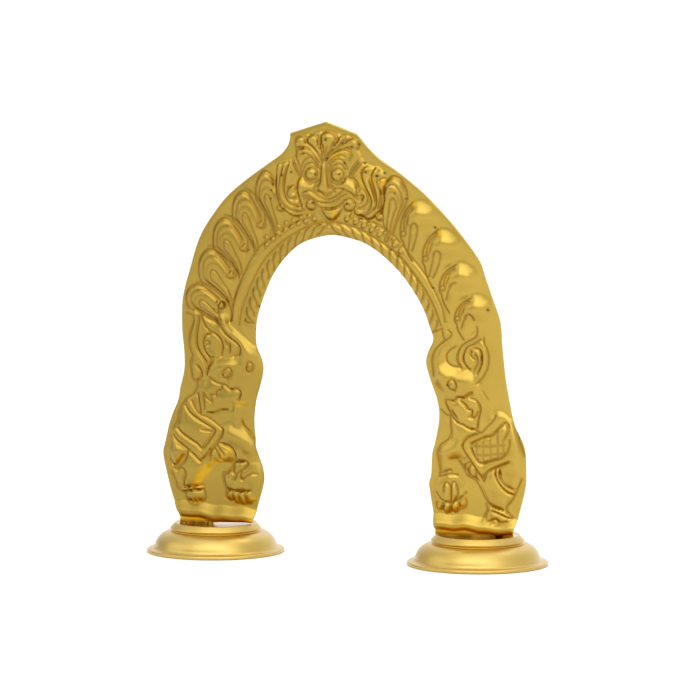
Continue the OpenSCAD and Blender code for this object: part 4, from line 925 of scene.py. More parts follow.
rightBeastSketch = {
    "fineLines": [
        [(481, 391), (487, 399.5)], [(449.5, 459.7), (456.5, 459), (464.5, 458)],
        [(474, 446), (490, 446), (506, 445)], [(473, 455.2), (490, 454.8), (505, 453.5)],
        [(476.3, 442), (476.8, 459)], [(483, 439), (482.8, 463)], [(490, 436.5), (490.3, 461)],
        [(497.5, 430), (497.6, 458)], [(503.5, 440), (503.8, 455)],
        [(451, 385), (452.2, 384)],
    ],
    "mounds": [
        # the whole beast
        (4.0, 1.5, [(441, 331), (448, 331), (450, 335), (446, 341), (452, 347), (447, 352), (446, 361),
            (452, 366), (463, 368), (472, 372), (478, 384), (484, 396), (490, 410), (496, 411), (504, 413),
            (511, 421), (517, 433), (521, 445), (524.5, 458), (525, 475), (521, 487), (515, 500),
            (512, 510), (514, 520), (512, 528), (495, 529), (482, 526), (482, 517), (485, 506), (479, 489),
            (470, 478), (462, 470), (457, 462), (452, 467), (460, 478), (467, 487), (467, 497), (462, 508),
            (454, 515), (444, 515), (435, 508), (431.5, 497), (432, 484), (437.5, 474), (437, 462),
            (435, 452), (440, 443.5), (448, 438), (449, 427), (448.5, 417), (443, 412), (440, 404),
            (436, 392), (432.5, 381), (429.5, 370), (428.5, 362), (431, 353), (437, 345), (442, 340)]),
        # curls behind the head
        (1.6, 0.7, [(455, 357), (458, 349), (466, 342.5), (475, 338), (480, 338), (484, 346), (488, 355),
            (487, 367), (482, 378), (475, 385), (470, 372), (460, 369)]),
        # brow and head
        (3.0, 0.4, [(446, 362), (452, 366.5), (462, 368.5), (470, 371.5), (473, 377), (472, 390),
            (464, 396.5), (456, 397.5), (446, 399), (440, 394), (436, 384), (432, 372), (432, 360),
            (436, 352), (442, 354)]),
        (1.0, 0.5, [(448, 385), (449.5, 381), (453, 381), (455, 386), (453.5, 391), (449.5, 391)]),
        # jaw and cheek
        (2.2, 0.8, [(446, 401), (454, 401), (460, 399), (466, 405), (471, 411), (470, 417), (476, 424),
            (476, 430), (468, 428), (460, 423.5), (454, 419), (449, 411)]),
        (2.0, 0.6, [(460, 399), (470, 396), (477, 398), (479.5, 408), (477, 418), (471, 418), (470, 411),
            (465, 405)]),
        # chest
        (4.5, 0.8, [(450, 418), (458, 425), (468, 430), (478, 433), (468, 437.5), (462, 444), (464, 452),
            (460, 458), (450, 459), (454, 468), (448, 471), (440, 472), (437.5, 462), (437, 452),
            (441, 444.5), (449, 439), (450, 428)]),
        # shoulder and haunch
        (4.0, 1.2, [(495, 412), (503, 413), (511, 422), (517, 433), (521, 446), (524, 458), (524.5, 474),
            (519, 483), (513, 490), (503, 484), (500, 475), (499, 467), (510, 463), (512, 452), (510, 440),
            (508.5, 428), (504, 422.5), (497, 424), (488, 430), (484, 430), (492, 421)]),
        # checked cloth
        (1.8, 0.5, [(471, 445), (478, 440.5), (487, 437), (493, 434), (499, 428), (504, 424.5),
            (507.5, 428), (506, 436), (509, 442), (508.5, 449), (503, 456), (493, 460), (481, 463.5),
            (476, 459), (472, 451)]),
        # thigh and tail
        (3.6, 0.6, [(484, 480), (490, 472), (495, 471), (497, 480), (504, 489), (513, 496), (508, 503),
            (505, 511), (497, 509), (489, 504), (484, 496), (479, 486)]),
        # hand
        (1.8, 0.8, [(457, 460), (463, 459), (470, 462), (476, 471), (481, 479), (475, 480), (467, 476),
            (463, 470)]),
        # fore foot, its petals and toes
        (5.0, 0.6, [(433, 490), (434, 482), (440, 476), (450, 475), (460, 478), (466, 487), (466, 497),
            (461, 507), (453, 513.5), (444, 513.5), (436.5, 506), (433, 498)]),
        (1.5, 0.5, [(443, 486), (445.5, 482.5), (449, 486), (450, 495), (449, 502), (444.5, 500),
            (442.5, 493)]),
        (1.5, 0.6, [(450.5, 487), (453, 482.5), (456, 487), (457.5, 493), (455, 501), (451.5, 502.5),
            (450.7, 496)]),
        (1.3, 1.0, [(443, 505), (446, 503), (449.5, 505), (450, 510), (447, 513.5), (443.5, 511.5)]),
        (1.3, 1.0, [(451, 505), (454, 503), (457.5, 504.5), (458, 509.5), (455, 512.5), (451.5, 511)]),
        (1.3, 1.0, [(436, 503), (439, 501), (442, 503.5), (442, 509), (438.5, 510), (435.8, 507)]),
        (1.3, 1.0, [(459, 502), (462, 499.5), (465, 502), (464.5, 507), (461, 508.5), (458.7, 506)]),
        (1.2, 0.9, [(434.5, 496), (437, 493.5), (440, 496), (440, 500), (436.5, 501)]),
        (1.2, 0.9, [(460, 495), (463, 493.5), (465.5, 496), (464, 499), (460.5, 499.5)]),
        # hind foot
        (2.4, 0.9, [(486, 510), (493, 511.5), (503, 516), (511, 519), (512, 525), (505, 528), (494, 528),
            (483.5, 524), (482.5, 517)]),
        (1.0, 0.6, [(491, 524), (492.5, 521), (496, 521), (497.5, 524), (495, 526.5), (492.5, 526)]),
    ],
    "ridges": [
        (2.4, 0.5, [(474, 334), (466, 342.5), (459, 351), (458.5, 359), (460.5, 367)]),
        (2.2, 0.5, [(477.5, 339), (470, 345.5), (465, 352), (464.5, 360), (468, 368)]),
        (2.8, 0.6, [(482, 345), (484, 355), (483.5, 365), (478, 377)]),
        (2.0, 0.5, [(473, 350.5), (477, 354), (478, 362), (475, 371)]),
        # the folded arm band
        (3.4, 0.5, [(493, 421), (487, 430), (479, 437), (470, 440.5), (465.5, 446), (469, 454), (475, 463),
            (481.5, 471.5), (490, 466.5), (500, 462), (510, 457)]),
        (2.0, 0.8, [(496.5, 471), (498.5, 479), (505, 487.5), (513, 493)]),
        (1.9, 0.8, [(489, 509.5), (497, 512.5), (505, 515.8), (511, 518)]),
    ],
    "grooves": [
        [(475.5, 327), (476, 333), (473.5, 338), (465, 342.7), (459, 348), (455.8, 355), (456, 362),
            (460.5, 369)],
        [(479.5, 339.5), (472, 344.5), (466, 347.5), (462.3, 355), (462.7, 363), (468.5, 370.5)],
        [(472.5, 348.5), (477, 349.3), (480.3, 355), (480, 364), (476, 375)],
        [(470, 350.5), (469.6, 356), (473.5, 360)], [(473.5, 355), (476.5, 359), (476.3, 364), (473, 370)],
        [(482.5, 338), (483, 344), (486.5, 352), (487.5, 360), (486, 369), (482, 377), (476, 384)],
        [(454.5, 346.5), (449, 350), (445.3, 355), (446, 361.5), (451, 366), (457, 366.7)],
        [(460, 328), (463, 319.5), (468, 314.5), (471.5, 317.5), (472.5, 321)],
        [(440.5, 329), (441.5, 335), (444, 340), (449, 337), (450, 333.5), (447, 330.5)],
        [(444.5, 340), (438, 345.5), (433, 351.5), (430.6, 359), (430.8, 367), (432.5, 376)],
        [(455, 391), (450.5, 389), (447.7, 384.5), (449, 381), (452.3, 379.3), (455.5, 382.5), (456.3, 387),
            (455, 391)],
        [(472, 393.3), (464, 397.5), (457, 397.7), (453, 400.5), (444.5, 400), (446, 407.5), (450.5, 416),
            (456, 422.5), (463, 425.5), (468, 428.8), (474, 430), (480, 433)],
        [(439.5, 409.5), (445, 414.8), (450, 416)], [(450.5, 411), (455.5, 418)],
        [(460, 401), (466, 406.5), (467, 409.3), (471.5, 411), (471, 415), (468.5, 417.3)],
        [(469, 417), (473.5, 417.8), (477.5, 412)],
        [(470, 398.5), (476, 401), (479.5, 409), (477.5, 420), (476.5, 429)],
        [(494.5, 416), (491.5, 422.5), (486, 428), (481, 433.5)],
        [(449, 416), (449.2, 425), (449.6, 434), (446, 440.5), (439.5, 445), (436, 452), (437, 461),
            (438.6, 470), (438, 477)],
        [(480, 433), (472, 435.3), (465, 439.5), (461.8, 445.5), (464.5, 453), (470, 461.5), (476, 471),
            (482.5, 481)],
        [(504.5, 439), (508, 432), (508, 426.5), (504, 423.3), (498, 428), (491, 435.5), (482, 438.5),
            (470.5, 444.5)],
        [(470.3, 448), (474, 457), (480, 464), (489, 462), (499, 458.7), (507, 453), (509.7, 446),
            (509.7, 440)],
        [(483, 479), (487, 472.5), (494, 469), (503, 465.5), (510, 462.7)],
        [(457, 460), (462, 468), (466.5, 476), (473, 479.5), (478, 486), (484, 498), (490, 506.3),
            (502, 511)],
        [(469.5, 462), (464.5, 465), (463.5, 470)], [(471, 464), (467.7, 470), (468, 476)],
        [(474.7, 470), (475.5, 480)],
        [(438.5, 472.5), (444, 472), (450, 470.5)], [(438.5, 476.7), (447, 474.7), (456.5, 474.7)],
        [(495.3, 470), (495, 476), (500, 486), (506.5, 493), (513.5, 496)],
        [(498.7, 470), (500, 479), (505.5, 486.5), (513, 491)],
        [(520.5, 480), (516, 490), (511.5, 500), (506, 506.5), (506, 513), (512, 518)],
        [(516, 431), (519, 442), (524, 457)],
        [(491.5, 511.3), (499, 514.3), (506, 518), (511, 518.5)],
        [(485, 504), (486, 510), (483, 516), (481.5, 522)],
        [(490, 524.5), (491.5, 520.5), (495.5, 519.8), (498.3, 523), (495.5, 526.3)],
        [(498, 525.5), (506, 522)],
        [(443, 492), (443, 486), (446, 482), (450, 487), (450.5, 495), (450.6, 503)],
        [(450, 487), (453, 482), (456, 486), (457.5, 493), (455.5, 500), (452, 503.5)],
        [(435, 492), (441, 499.5), (447, 502.5), (452, 502.7), (460, 498), (465, 493)],
        [(435, 501.5), (435.5, 507.5), (438.5, 510.5), (442.5, 509.5), (443.5, 513), (447, 514.3),
            (450.5, 511.5), (455, 513.2), (458.5, 510), (462, 509.2), (465.3, 505.5), (465, 500.5)],
        [(442.6, 503), (442.4, 509)], [(450.4, 503.5), (450.6, 511)], [(458.3, 503), (458.5, 509)],
    ],
    "swellings": [
        # head, haunch, chest and thigh
        (12.0, 1.3, [(440, 377), (453, 383), (468, 384)]),
        (13.0, 1.7, [(505, 434), (510, 448), (511, 464)]),
        (9.0, 0.6, [(446, 453), (457, 447)]), (9.0, 0.6, [(492, 480), (497, 489)]),
    ],
}
# The ground ledge above each foot: its ends in the picture, and its section in mm up the sheet
groundLedge = {
    "ends": [[(166, 508), (264, 520)], [(422, 528), (530, 537)]],
    "endFade": 2.0,           # mm
    "tilts": [0.07, 0.05],    # how far each falls to the right
    "waves": [(0.28, 3.1, 0.4), (0.18, 1.5, 1.7)],    # of its lip: size, length of a radian, start
    "up": [-0.4, 0.0, 0.5, 1.1, 1.8, 2.6, 3.8, 5.4, 7.4],
    "relief": [1.6, 1.5, 1.2, 1.7, 2.5, 2.9, 2.6, 1.4, 0.0],
    "undersideGlow": 2.0,         # glows with painted reflection up to here
    "contactShade": 0.85,             # painted shade: how far the foot darkens near the pedestal, and up to what height
    "contactShadeUp": 1.5,
}
# The left foot stands off its pedestal from its middle to its inner corner, by so many mm
footGap = {"from": (212, 517), "to": (254, 521), "rise": 0.6, "fade": 3.0}
footSunk = 0.3     # mm of the feet set below the collar's lip

# Middle line of the beads on the outer roll
beadRoutes = [
    [(314, 217.5), (305, 219.5), (297.5, 221.5), (290.5, 224.5), (283.5, 228), (277, 232), (271, 237),
     (265, 243)],
    [(347, 217.5), (356, 220.5), (364, 224), (372, 228.5), (380, 233), (388, 238), (395.5, 243.5),
     (402, 250)],
]
# The beads stand in two rows, the outer ones between the inner ones
beadRows = {
    "middle": (335, 330),     # the rows lie so many pixels nearer to this one, or farther from it
    "inner": -2.0,
    "outer": 3.0,
    "radius": 2.7,            # pixels
    "rise": 1.2,
    "shadeAndTarnish": 0.5,
}
# The cuts that make the inner roll a rope, each running away from the crown as it crosses the roll, mm
rope = {
    "pitch": 4.3,
    "width": 4.0,
    "length": 6.5,
    "left": 84.0,             # how far along the roll they go from its top
    "right": 74.0,
    "points": 7,
    "cut": (1.2, 0.45, 0.8),  # reach, depth, painted shade and tarnish
}
# Width and rise of the two rolls, and reach, depth, and painted shade with tarnish of the lines beside them
rollSizes = {"beaded": (5.4, 0.8), "inner": (5.0, 0.9), "cut": (1.6, 0.5, 0.8)}
# Painted reflection: places where the gilding mirrors itself, painted with a deep orange glow: width in mm,
# strength and route
paintedGlows = [
    (1.5, 1.0, [(196, 484), (200, 476), (206, 468)]), (0.8, 0.8, [(209, 465), (216, 461), (222, 460)]),
    (0.9, 0.8, [(178, 462), (181, 457)]), (1.1, 0.8, [(223, 454), (227, 451)]),
    (0.8, 0.8, [(236, 404.5), (244, 404)]), (1.0, 0.8, [(333, 157), (338, 155.3), (342, 154.5)]),
    (0.8, 0.7, [(361, 182), (360, 174), (362, 168)]), (0.7, 0.7, [(372, 182), (371, 175), (373, 170)]),
    (1.2, 0.7, [(382, 184), (386, 180), (391, 178)]), (1.2, 0.7, [(334.5, 215.5), (336, 215)]),
    (0.7, 0.6, [(300.5, 183), (303, 178)]), (1.1, 0.8, [(412, 204), (414, 201.5)]),
    (1.0, 0.8, [(437, 234), (440, 232)]), (0.9, 0.8, [(429, 243), (426.5, 250)]),
    (0.9, 0.8, [(447, 277), (444.5, 283)]), (0.9, 0.8, [(463, 303), (460, 308)]),
    (1.0, 0.8, [(226, 498), (231, 499)]), (1.1, 0.8, [(235, 500), (243, 501)]),
    (1.0, 0.8, [(247, 500), (252, 500)]), (1.0, 0.8, [(437, 507), (446, 511)]),
    (1.0, 0.8, [(453, 510.5), (461, 506)]), (0.9, 0.8, [(192, 502), (199, 502)]),
]
# Small dark specks: x and y in the picture, size in mm
darkSpecks = [
    (326.5, 139.5, 0.6), (334, 145, 0.4), (342, 143, 0.35), (352, 147, 0.5), (358.5, 144.5, 0.35),
    (332, 150, 0.35), (327, 158.5, 0.45), (344.5, 163, 0.45), (364, 163, 0.5), (282, 175, 0.6),
    (291, 172, 0.45), (366, 172, 0.5), (377, 176, 0.6), (383.5, 173, 0.5), (340, 174, 0.45),
    (315.5, 174, 0.35), (313.5, 202.5, 0.45), (347.5, 204, 0.45), (271, 190, 0.4), (272, 184, 0.3),
    (270.5, 198.5, 0.4), (258.3, 306.5, 0.5), (255.2, 329, 0.5), (434, 227.5, 0.5), (487.5, 310, 0.6),
    (246.5, 250, 0.35), (231.5, 320.5, 0.3), (390, 250, 0.4), (397, 256.5, 0.35), (432.5, 288, 0.4),
    (405, 199, 0.4), (395.5, 193, 0.35), (223, 375, 0.3), (448, 385, 0.4), (216, 302, 0.4),
    (214, 309, 0.35),
]

# How far the strokes rise and bite, mm
embossing = {
    "creaseReach": 1.15,
    "creaseDepth": 0.95,
    "creaseShadeAndTarnish": 0.9,
    "creaseSharpness": 2.4,
    "fineCut": (0.9, 0.45, 0.55),   # reach, depth, and painted shade with tarnish, of a fine line
    "shadeAndTarnishReach": 0.4,
    "formShoulder": 1.35,   # figures are pressed softer and lower than they are sketched
    "formRise": 0.85,
    "maskLift": 1.5,
    "beastLift": 1.9,
    "featherLift": 0.9,
    "rollLift": 0.5,
    "footLift": 1.5,
    "formSoftening": 3,     # passes over the forms, the lines and the ledge
    "lineSoftening": 1,
    "ledgeSoftening": 1,
    "backShrink": 3,        # cells that the hollow side draws in, and passes over it
    "backSoftening": 4,
    "waviness": 0.12,
    "longWave": (9.0, 1.3, 11.0),   # length of a radian across, its start, and length up
    "shortWave": (0.6, 4.3, 6.1),   # share, and length of a radian across and up
    "edgeDrop": 0.35,       # how far the shears drew the edge down, and how far in that shows
    "edgeReach": 0.5,
    "deepSoftening": 24,    # passes that level the relief
    "deepStart": 0.12,      # how far below that a place starts to take the painted glow, and over what depth it grows
    "deepSpan": 0.5,
}
# A ball and the ring chased round it
ballCut = {"shoulder": 1.4, "reach": 0.9, "depth": 0.55, "shadeAndTarnish": 0.8}


def featherPixels(anchors, units):
    corner, top, bud = [np.array(p, float) for p in anchors]
    units = np.array(units)
    return corner + units[:, :1] * (bud - corner) + units[:, 1:] * (top - (corner + bud) / 2)


def drawBall(centre, lift, radius, rise, shadeAndTarnish=ballCut["shadeAndTarnish"]):
    pixels = ballPixels(centre, radius)
    mound(pixels, lift, ballCut["shoulder"], rise)
    crease(pixels, lift, ballCut["reach"], ballCut["depth"] * shadeAndTarnish, shadeAndTarnish, closed=True)


def drawFeather(anchors, first):
    lift = embossing["featherLift"]
    for name, shoulder, rise in featherSketch["mounds"]:
        mound(featherPixels(anchors, featherSketch[name]), lift, shoulder, rise)
    for name, count, *cut in featherSketch["lines"]:
        crease(featherPixels(anchors, featherSketch[name][:count]), lift, *cut)
    swelling(featherPixels(anchors, featherSketch["hood"]), lift, *featherSketch["hoodSwell"])
    for stem in featherSketch["stems"]:
        crease(featherPixels(anchors, stem), lift, *featherSketch["stemCut"])
    if not first:
        ridge(featherPixels(anchors, featherSketch["strip"]), lift, *featherSketch["stripSwell"])
        crease(featherPixels(anchors, featherSketch["stripLine"]), lift, *featherSketch["stripCut"])
    drawBall(anchors[2], lift, *featherSketch["budBall"])


def drawDome(anchors, centre):
    # the lower feathers on the right were struck as plain domes
    lift = embossing["featherLift"]
    for width, rise, route in domeSketch["swellings"]:
        swelling(featherPixels(anchors, route), lift, width, rise)
    for name, *cut in domeSketch["lines"]:
        crease(featherPixels(anchors, domeSketch[name]), lift, *cut)
    if centre:
        crease(featherPixels(anchors, domeSketch[centre]), lift, *domeSketch["centreCut"])
    drawBall(featherPixels(anchors, [domeSketch["bud"]])[0], lift, *domeSketch["budBall"])


def drawFigure(sketch, lift):
    softness = embossing["formShoulder"]
    fullness = embossing["formRise"] * sketch.get("swell", 1.0)
    bite = sketch.get("bite", 1.0)
    cut = (embossing["creaseReach"], bite * embossing["creaseDepth"], bite * embossing["creaseShadeAndTarnish"])
    for shoulder, rise, outline in sketch["mounds"]:
        mound(outline, lift, shoulder * softness, rise * fullness)
    for width, rise, route in sketch["ridges"]:
        ridge(route, lift, width, rise * fullness)
    for width, rise, route in sketch["swellings"]:
        swelling(route, lift, width, rise)
    for route in sketch["grooves"]:
        crease(route, lift, *cut)
    for route in sketch.get("fineLines", []):
        crease(route, lift, *embossing["fineCut"])
    for centre, radius, ring, shoulder, rise in sketch.get("eyes", []):
        mound(ballPixels(centre, radius), lift, shoulder * softness, rise * fullness)
        crease(ballPixels(centre, ring), lift, *cut, closed=True)


def drawRope(path):
    runs = np.gradient(path, axis=0)
    runs /= np.linalg.norm(runs, axis=1)[:, None]
    away = np.concatenate([[0], np.cumsum(np.linalg.norm(np.diff(path, axis=0), axis=1))])
    away -= away[path[:, 1].argmax()]
    share = np.linspace(0, 1, rope["points"])
    for place in np.arange(-rope["left"], rope["right"], rope["pitch"]):
        along = place + np.sign(place) * rope["length"] * (share - 0.5)
        x, y, runX, runY = [np.interp(along, away, row) for row in (*path.T, *runs.T)]
        out = rope["width"] / 2 * np.cos(share * math.pi)
        chase(np.stack([x - runY * out, y + runX * out], -1), *rope["cut"])


def drawBeads(places, shift, lift):
    away = places - np.array(beadRows["middle"])
    away /= np.linalg.norm(away, axis=1)[:, None]
    for bead in places + shift * away:
        drawBall(bead, lift, beadRows["radius"], beadRows["rise"], beadRows["shadeAndTarnish"])


def drawRolls():
    lift = embossing["rollLift"]
    ridge(beadedRoll, lift, *rollSizes["beaded"])
    ridge(innerRoll, lift, *rollSizes["inner"])
    for route in rollLines:
        crease(route, lift, *rollSizes["cut"])
    for route in beadRoutes:
        beads = np.array(route)
        drawBeads(beads, beadRows["inner"], lift)
        drawBeads((beads[1:] + beads[:-1]) / 2, beadRows["outer"], lift)
    drawRope(curved(onSheet(innerRoll, lift)))


def wavyGround():
    # the sheet was never quite flat
    up, across = np.meshgrid(boardUp - boardLow[1], boardAcross - boardLow[0], indexing="ij")
    wide, start, tall = embossing["longWave"]
    share, shortWide, shortTall = embossing["shortWave"]
    waves = np.sin(across / wide + start) * np.sin(up / tall)
    return embossing["waviness"] * (waves + share * np.sin(across / shortWide + up / shortTall))


def ledgeRelief():
    waves = [size * np.sin(boardAcross / length + start) for size, length, start in groundLedge["waves"]]
    relief = np.zeros(boardCells[::-1])
    for ends, tilt in zip(groundLedge["ends"], groundLedge["tilts"]):
        (first, _), (last, _) = onSheet(ends, embossing["footLift"])
        inside = np.minimum(boardAcross - first, last - boardAcross) / groundLedge["endFade"]
        level = boardUp[:, None] + sum(waves) + tilt * (boardAcross - (first + last) / 2)
        section = np.interp(level, groundLedge["up"], groundLedge["relief"])
        relief = np.maximum(relief, section * np.sin(np.clip(inside, 0, 1) * math.pi / 2))
    return softened(relief, embossing["ledgeSoftening"])


def emboss():
    lift = embossing["featherLift"]
    drawRolls()
    for number, anchors in enumerate(leftFeathers):
        drawFeather(anchors, number == 0)
    drawFeather(rightFeathers[0], True)
    swelling(featherPixels(rightFeathers[0], domeSketch["cap"]), lift, *domeSketch["capSwell"])
    for anchors, centre in zip(rightFeathers[1:], domeSketch["centres"]):
        drawDome(anchors, centre)
    drawFigure(maskSketch, embossing["maskLift"])
    drawFigure(leftBeastSketch, embossing["beastLift"])
    drawFigure(rightBeastSketch, embossing["beastLift"])
    forms = softened(swellBoard, embossing["formSoftening"])
    lines = softened(creaseBoard, embossing["lineSoftening"])
    return np.maximum(forms + lines + wavyGround(), ledgeRelief())


def trimSpots(trim):
    # the sheared edge: smooth runs with corners between them, and straight down to the foot
    runs = [onSheet(run, 0.0) for run in trim]
    runs = [curved(run) if len(run) > archSheet["straightPoints"] else run for run in runs]
    spots = np.vstack(runs)
    return np.vstack([[spots[0, 0], -footSunk], spots, [spots[-1, 0], -footSunk]])


def stations(spots):
    # place along the arch: height on the legs, turn about the crown's centre above them
    centre = archSheet["springing"]
    turn = math.pi - np.arctan2(spots[:, 1] - centre, spots[:, 0])
    onLeg = np.where(spots[:, 0] < 0, spots[:, 1], archLength - spots[:, 1])
    return np.where(spots[:, 1] < centre, onLeg, centre + turn * archSheet["crownReach"])


def columnPlaces(columns):
    # columns lie closest in the mask
    fine = np.linspace(0, archLength, archSheet["stationSamples"])
    away = np.abs(fine - archLength / 2) / archSheet["crowdedHalf"]
    crowded = np.cumsum(1 + archSheet["crowding"] * np.exp(-away ** 4))
    crowded = (crowded - crowded[0]) / (crowded[-1] - crowded[0])
    return np.interp(np.linspace(0, 1, columns + 1), crowded, fine)


def bandGrid(columns, rows):
    along = columnPlaces(columns) - footSunk * np.linspace(1, -1, columns + 1)
    edges = []
    for trim in (innerTrim, outerTrim):
        spots = trimSpots(trim)
        places = stations(spots)
        edges.append(np.stack([np.interp(along, places, spots[:, k]) for k in (0, 1)], -1))
    share = np.linspace(0, 1, rows + 1)[None, :, None]
    spots = edges[0][:, None] * (1 - share) + edges[1][:, None] * share
    (start, _), (end, _) = onSheet([footGap["from"], footGap["to"]], embossing["footLift"])
    onLeft = np.where(spots[..., 0] < 0, np.clip((spots[..., 0] - start) / (end - start), 0, 1), 0)
    low = np.clip(1 - (spots[..., 1] + footSunk) / footGap["fade"], 0, 1)
    spots[..., 1] += (footGap["rise"] + footSunk) * np.sqrt(onLeft) * low
    return spots


def boardSample(heights, spots):
    place = (spots - boardLow) / archSheet["pitch"]
    cell = np.clip(place.astype(int), 0, boardCells - 2)
    part = place - cell
    x, y = cell[..., 0], cell[..., 1]
    u, v = part[..., 0], part[..., 1]
    low = heights[y, x] * (1 - u) + heights[y, x + 1] * u
    high = heights[y + 1, x] * (1 - u) + heights[y + 1, x + 1] * u
    return low * (1 - v) + high * v


def shrunken(heights, cells):
    # the hollow side follows the lowest relief nearby, so the sheet keeps its thickness
    for axis in (0, 1):
        heights = np.min([np.roll(heights, k, axis) for k in range(-cells, cells + 1)], 0)
    return heights


def sheetPoints(spots, relief, face):
    depth = face * archSheet["thickness"] / 2 - relief - spots[..., 1] * leanSlope
    return np.stack([spots[..., 0], depth, seatZ + spots[..., 1]], -1).reshape(-1, 3) * mm


def gridFaces(columns, rows, first):
    c, r = np.meshgrid(np.arange(columns), np.arange(rows), indexing="ij")
    corner = (first + c * (rows + 1) + r).ravel()
    return np.stack([corner, corner + rows + 1, corner + rows + 2, corner + 1], -1)


def borderLoop(columns, rows, first):
    down = [c * (rows + 1) for c in range(columns)]
    side = [columns * (rows + 1) + r for r in range(rows)]
    back = [c * (rows + 1) + rows for c in range(columns, 0, -1)]
    return [first + i for i in down + side + back + list(range(rows, 0, -1))]


def sheetFaces(columns, rows, backFirst):
    # the front, the back turned round, and a rim that joins their borders
    step = archSheet["backStep"]
    coarse = (columns // step, rows // step)
    faces = gridFaces(columns, rows, 0).tolist() + gridFaces(*coarse, backFirst)[:, ::-1].tolist()
    fine = borderLoop(columns, rows, 0)
    rough = borderLoop(*coarse, backFirst)
    for k in range(len(rough)):
        run = [fine[(k * step + j) % len(fine)] for j in range(step + 1)]
        faces.append(run[::-1] + [rough[k], rough[(k + 1) % len(rough)]])
    return faces


def edgeDrop(spots):
    # the shears leave the edge drawn down a little
    width = np.linalg.norm(spots[:, -1] - spots[:, 0], axis=-1)[:, None]
    share = np.linspace(0, 1, spots.shape[1])[None, :]
    inward = np.minimum(share, 1 - share) * width
    return embossing["edgeDrop"] * np.exp(-inward / embossing["edgeReach"])


def shadeAndTarnishAmount():
    # painted shade with tarnish along the chased lines, and painted shade on the feet near the pedestal
    contactDark = groundLedge["contactShade"] * np.clip(1 - boardUp / groundLedge["contactShadeUp"], 0, 1)
    return np.maximum(shadeAndTarnishBoard, contactDark[:, None])


def hollowAmount(relief):
    # painted reflection: deep places, the ledge's underside and the listed glow places take the glow of the
    # gilding mirrored in itself
    deep = softened(relief, embossing["deepSoftening"]) - relief
    amount = np.clip((deep - embossing["deepStart"]) / embossing["deepSpan"], 0, 1)
    amount[:int((groundLedge["undersideGlow"] - boardLow[1]) / archSheet["pitch"])] = 1
    for width, strength, route in paintedGlows:
        path = curved(onSheet(route, embossing["beastLift"]))
        cells, across, up = boardWindow(path, 2 * width)
        away = strokeDistance(path, path[1:], across, up)
        amount[cells] = np.maximum(amount[cells], strength * np.exp(-(away / width) ** 2))
    return amount


def darkSpeckAmount(spots):
    # small dark specks
    amount = np.zeros(spots.shape[:2])
    for x, y, size in darkSpecks:
        centre = onSheet([(x, y)], embossing["maskLift"])[0]
        away = np.linalg.norm(spots - centre, axis=-1)
        amount = np.maximum(amount, np.exp(-(away / size) ** 2))
    return amount


def pointValues(mesh, name, values):
    mesh.attributes.new(name, "FLOAT", "POINT").data.foreach_set("value", values)


def markSheet(mesh, relief, spots, backCount):
    marks = {
        "shadeAndTarnish": boardSample(shadeAndTarnishAmount(), spots),
        "hollow": boardSample(hollowAmount(relief), spots),
        "darkSpeck": darkSpeckAmount(spots),
    }
    for name, amount in marks.items():
        pointValues(mesh, name, np.concatenate([amount.ravel(), np.zeros(backCount)]))


def makeSheet():
    relief = emboss()
    step = archSheet["backStep"]
    columns, rows = archSheet["columns"], archSheet["rows"]
    frontSpots = bandGrid(columns, rows)
    backSpots = frontSpots[::step, ::step]
    backRelief = softened(shrunken(relief, embossing["backShrink"]), embossing["backSoftening"])
    front = sheetPoints(frontSpots, boardSample(relief, frontSpots) - edgeDrop(frontSpots), -1)
    back = sheetPoints(backSpots, boardSample(backRelief, backSpots), 1)
    mesh = bpy.data.meshes.new("archSheet")
    mesh.from_pydata(np.vstack([front, back]).tolist(), [], sheetFaces(columns, rows, len(front)))
    piece = bpy.data.objects.new("archSheet", mesh)
    scene.collection.objects.link(piece)
    markSheet(mesh, relief, frontSpots, len(back))
    mesh.materials.append(giltSheet)
    deselectAll()
    piece.select_set(True)
    bpy.context.view_layer.objects.active = piece
    bpy.ops.object.mode_set(mode="EDIT")
    bpy.ops.mesh.select_all(action="SELECT")
    bpy.ops.mesh.normals_make_consistent(inside=False)
    bpy.ops.object.mode_set(mode="OBJECT")
    bpy.ops.object.shade_smooth_by_angle(angle=math.radians(archSheet["sharpAngle"]))
    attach(piece, "root")
    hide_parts("arch_sheet")


makeSheet()
print("sheet embossed")

# Spun pedestals, sizes in mm
pedestalTurning = {
    "rimHeight": 1.5,
    "shoulderRadius": 7.2,
    "lipRadius": 0.8,       # round lip of the collar, and where its centre lies
    "lipReach": 16.2,
    "skirtReach": 18.5,     # foot of the collar's flared skirt, and its rounded hem
    "skirtDepth": 2.6,
    "hemRadius": 0.45,
    "hemRise": 0.4,
    "neckReach": 17.7,
    "tuck": (0.1, 0.2),     # where the skirt turns in: out from the neck, and below the hem
    "flare": [(0.25, 0.5), (0.75, 0.1)],    # from the dome's foot out to the rim
    "wall": 0.8,
    "topInset": 0.25,       # the polished top lies a little below the collar's lip
    "topEdge": 0.7,         # and ends this far inside the lip's centre
    "polishEdge": 0.5,      # faces so far inside the lip, and so near the top, are polished
    "polishDepth": 0.5,
    # start and end in degrees, and points
    "lipArc": (105, 35, 8),
    "hemArc": (35, -70, 8),
    "domeArc": (86, 8, 24),
    "rimArc": (90, -90, 9),
    "insideArc": (2, 88, 16),
    "turns": 144,
    "weld": 0.01,
    "sharpAngle": 40.0,
}


def arcPoints(centre, radius, start, end, count):
    angles = np.radians(np.linspace(start, end, count))
    return [(centre[0] + radius * math.cos(a), centre[1] + radius * math.sin(a)) for a in angles]


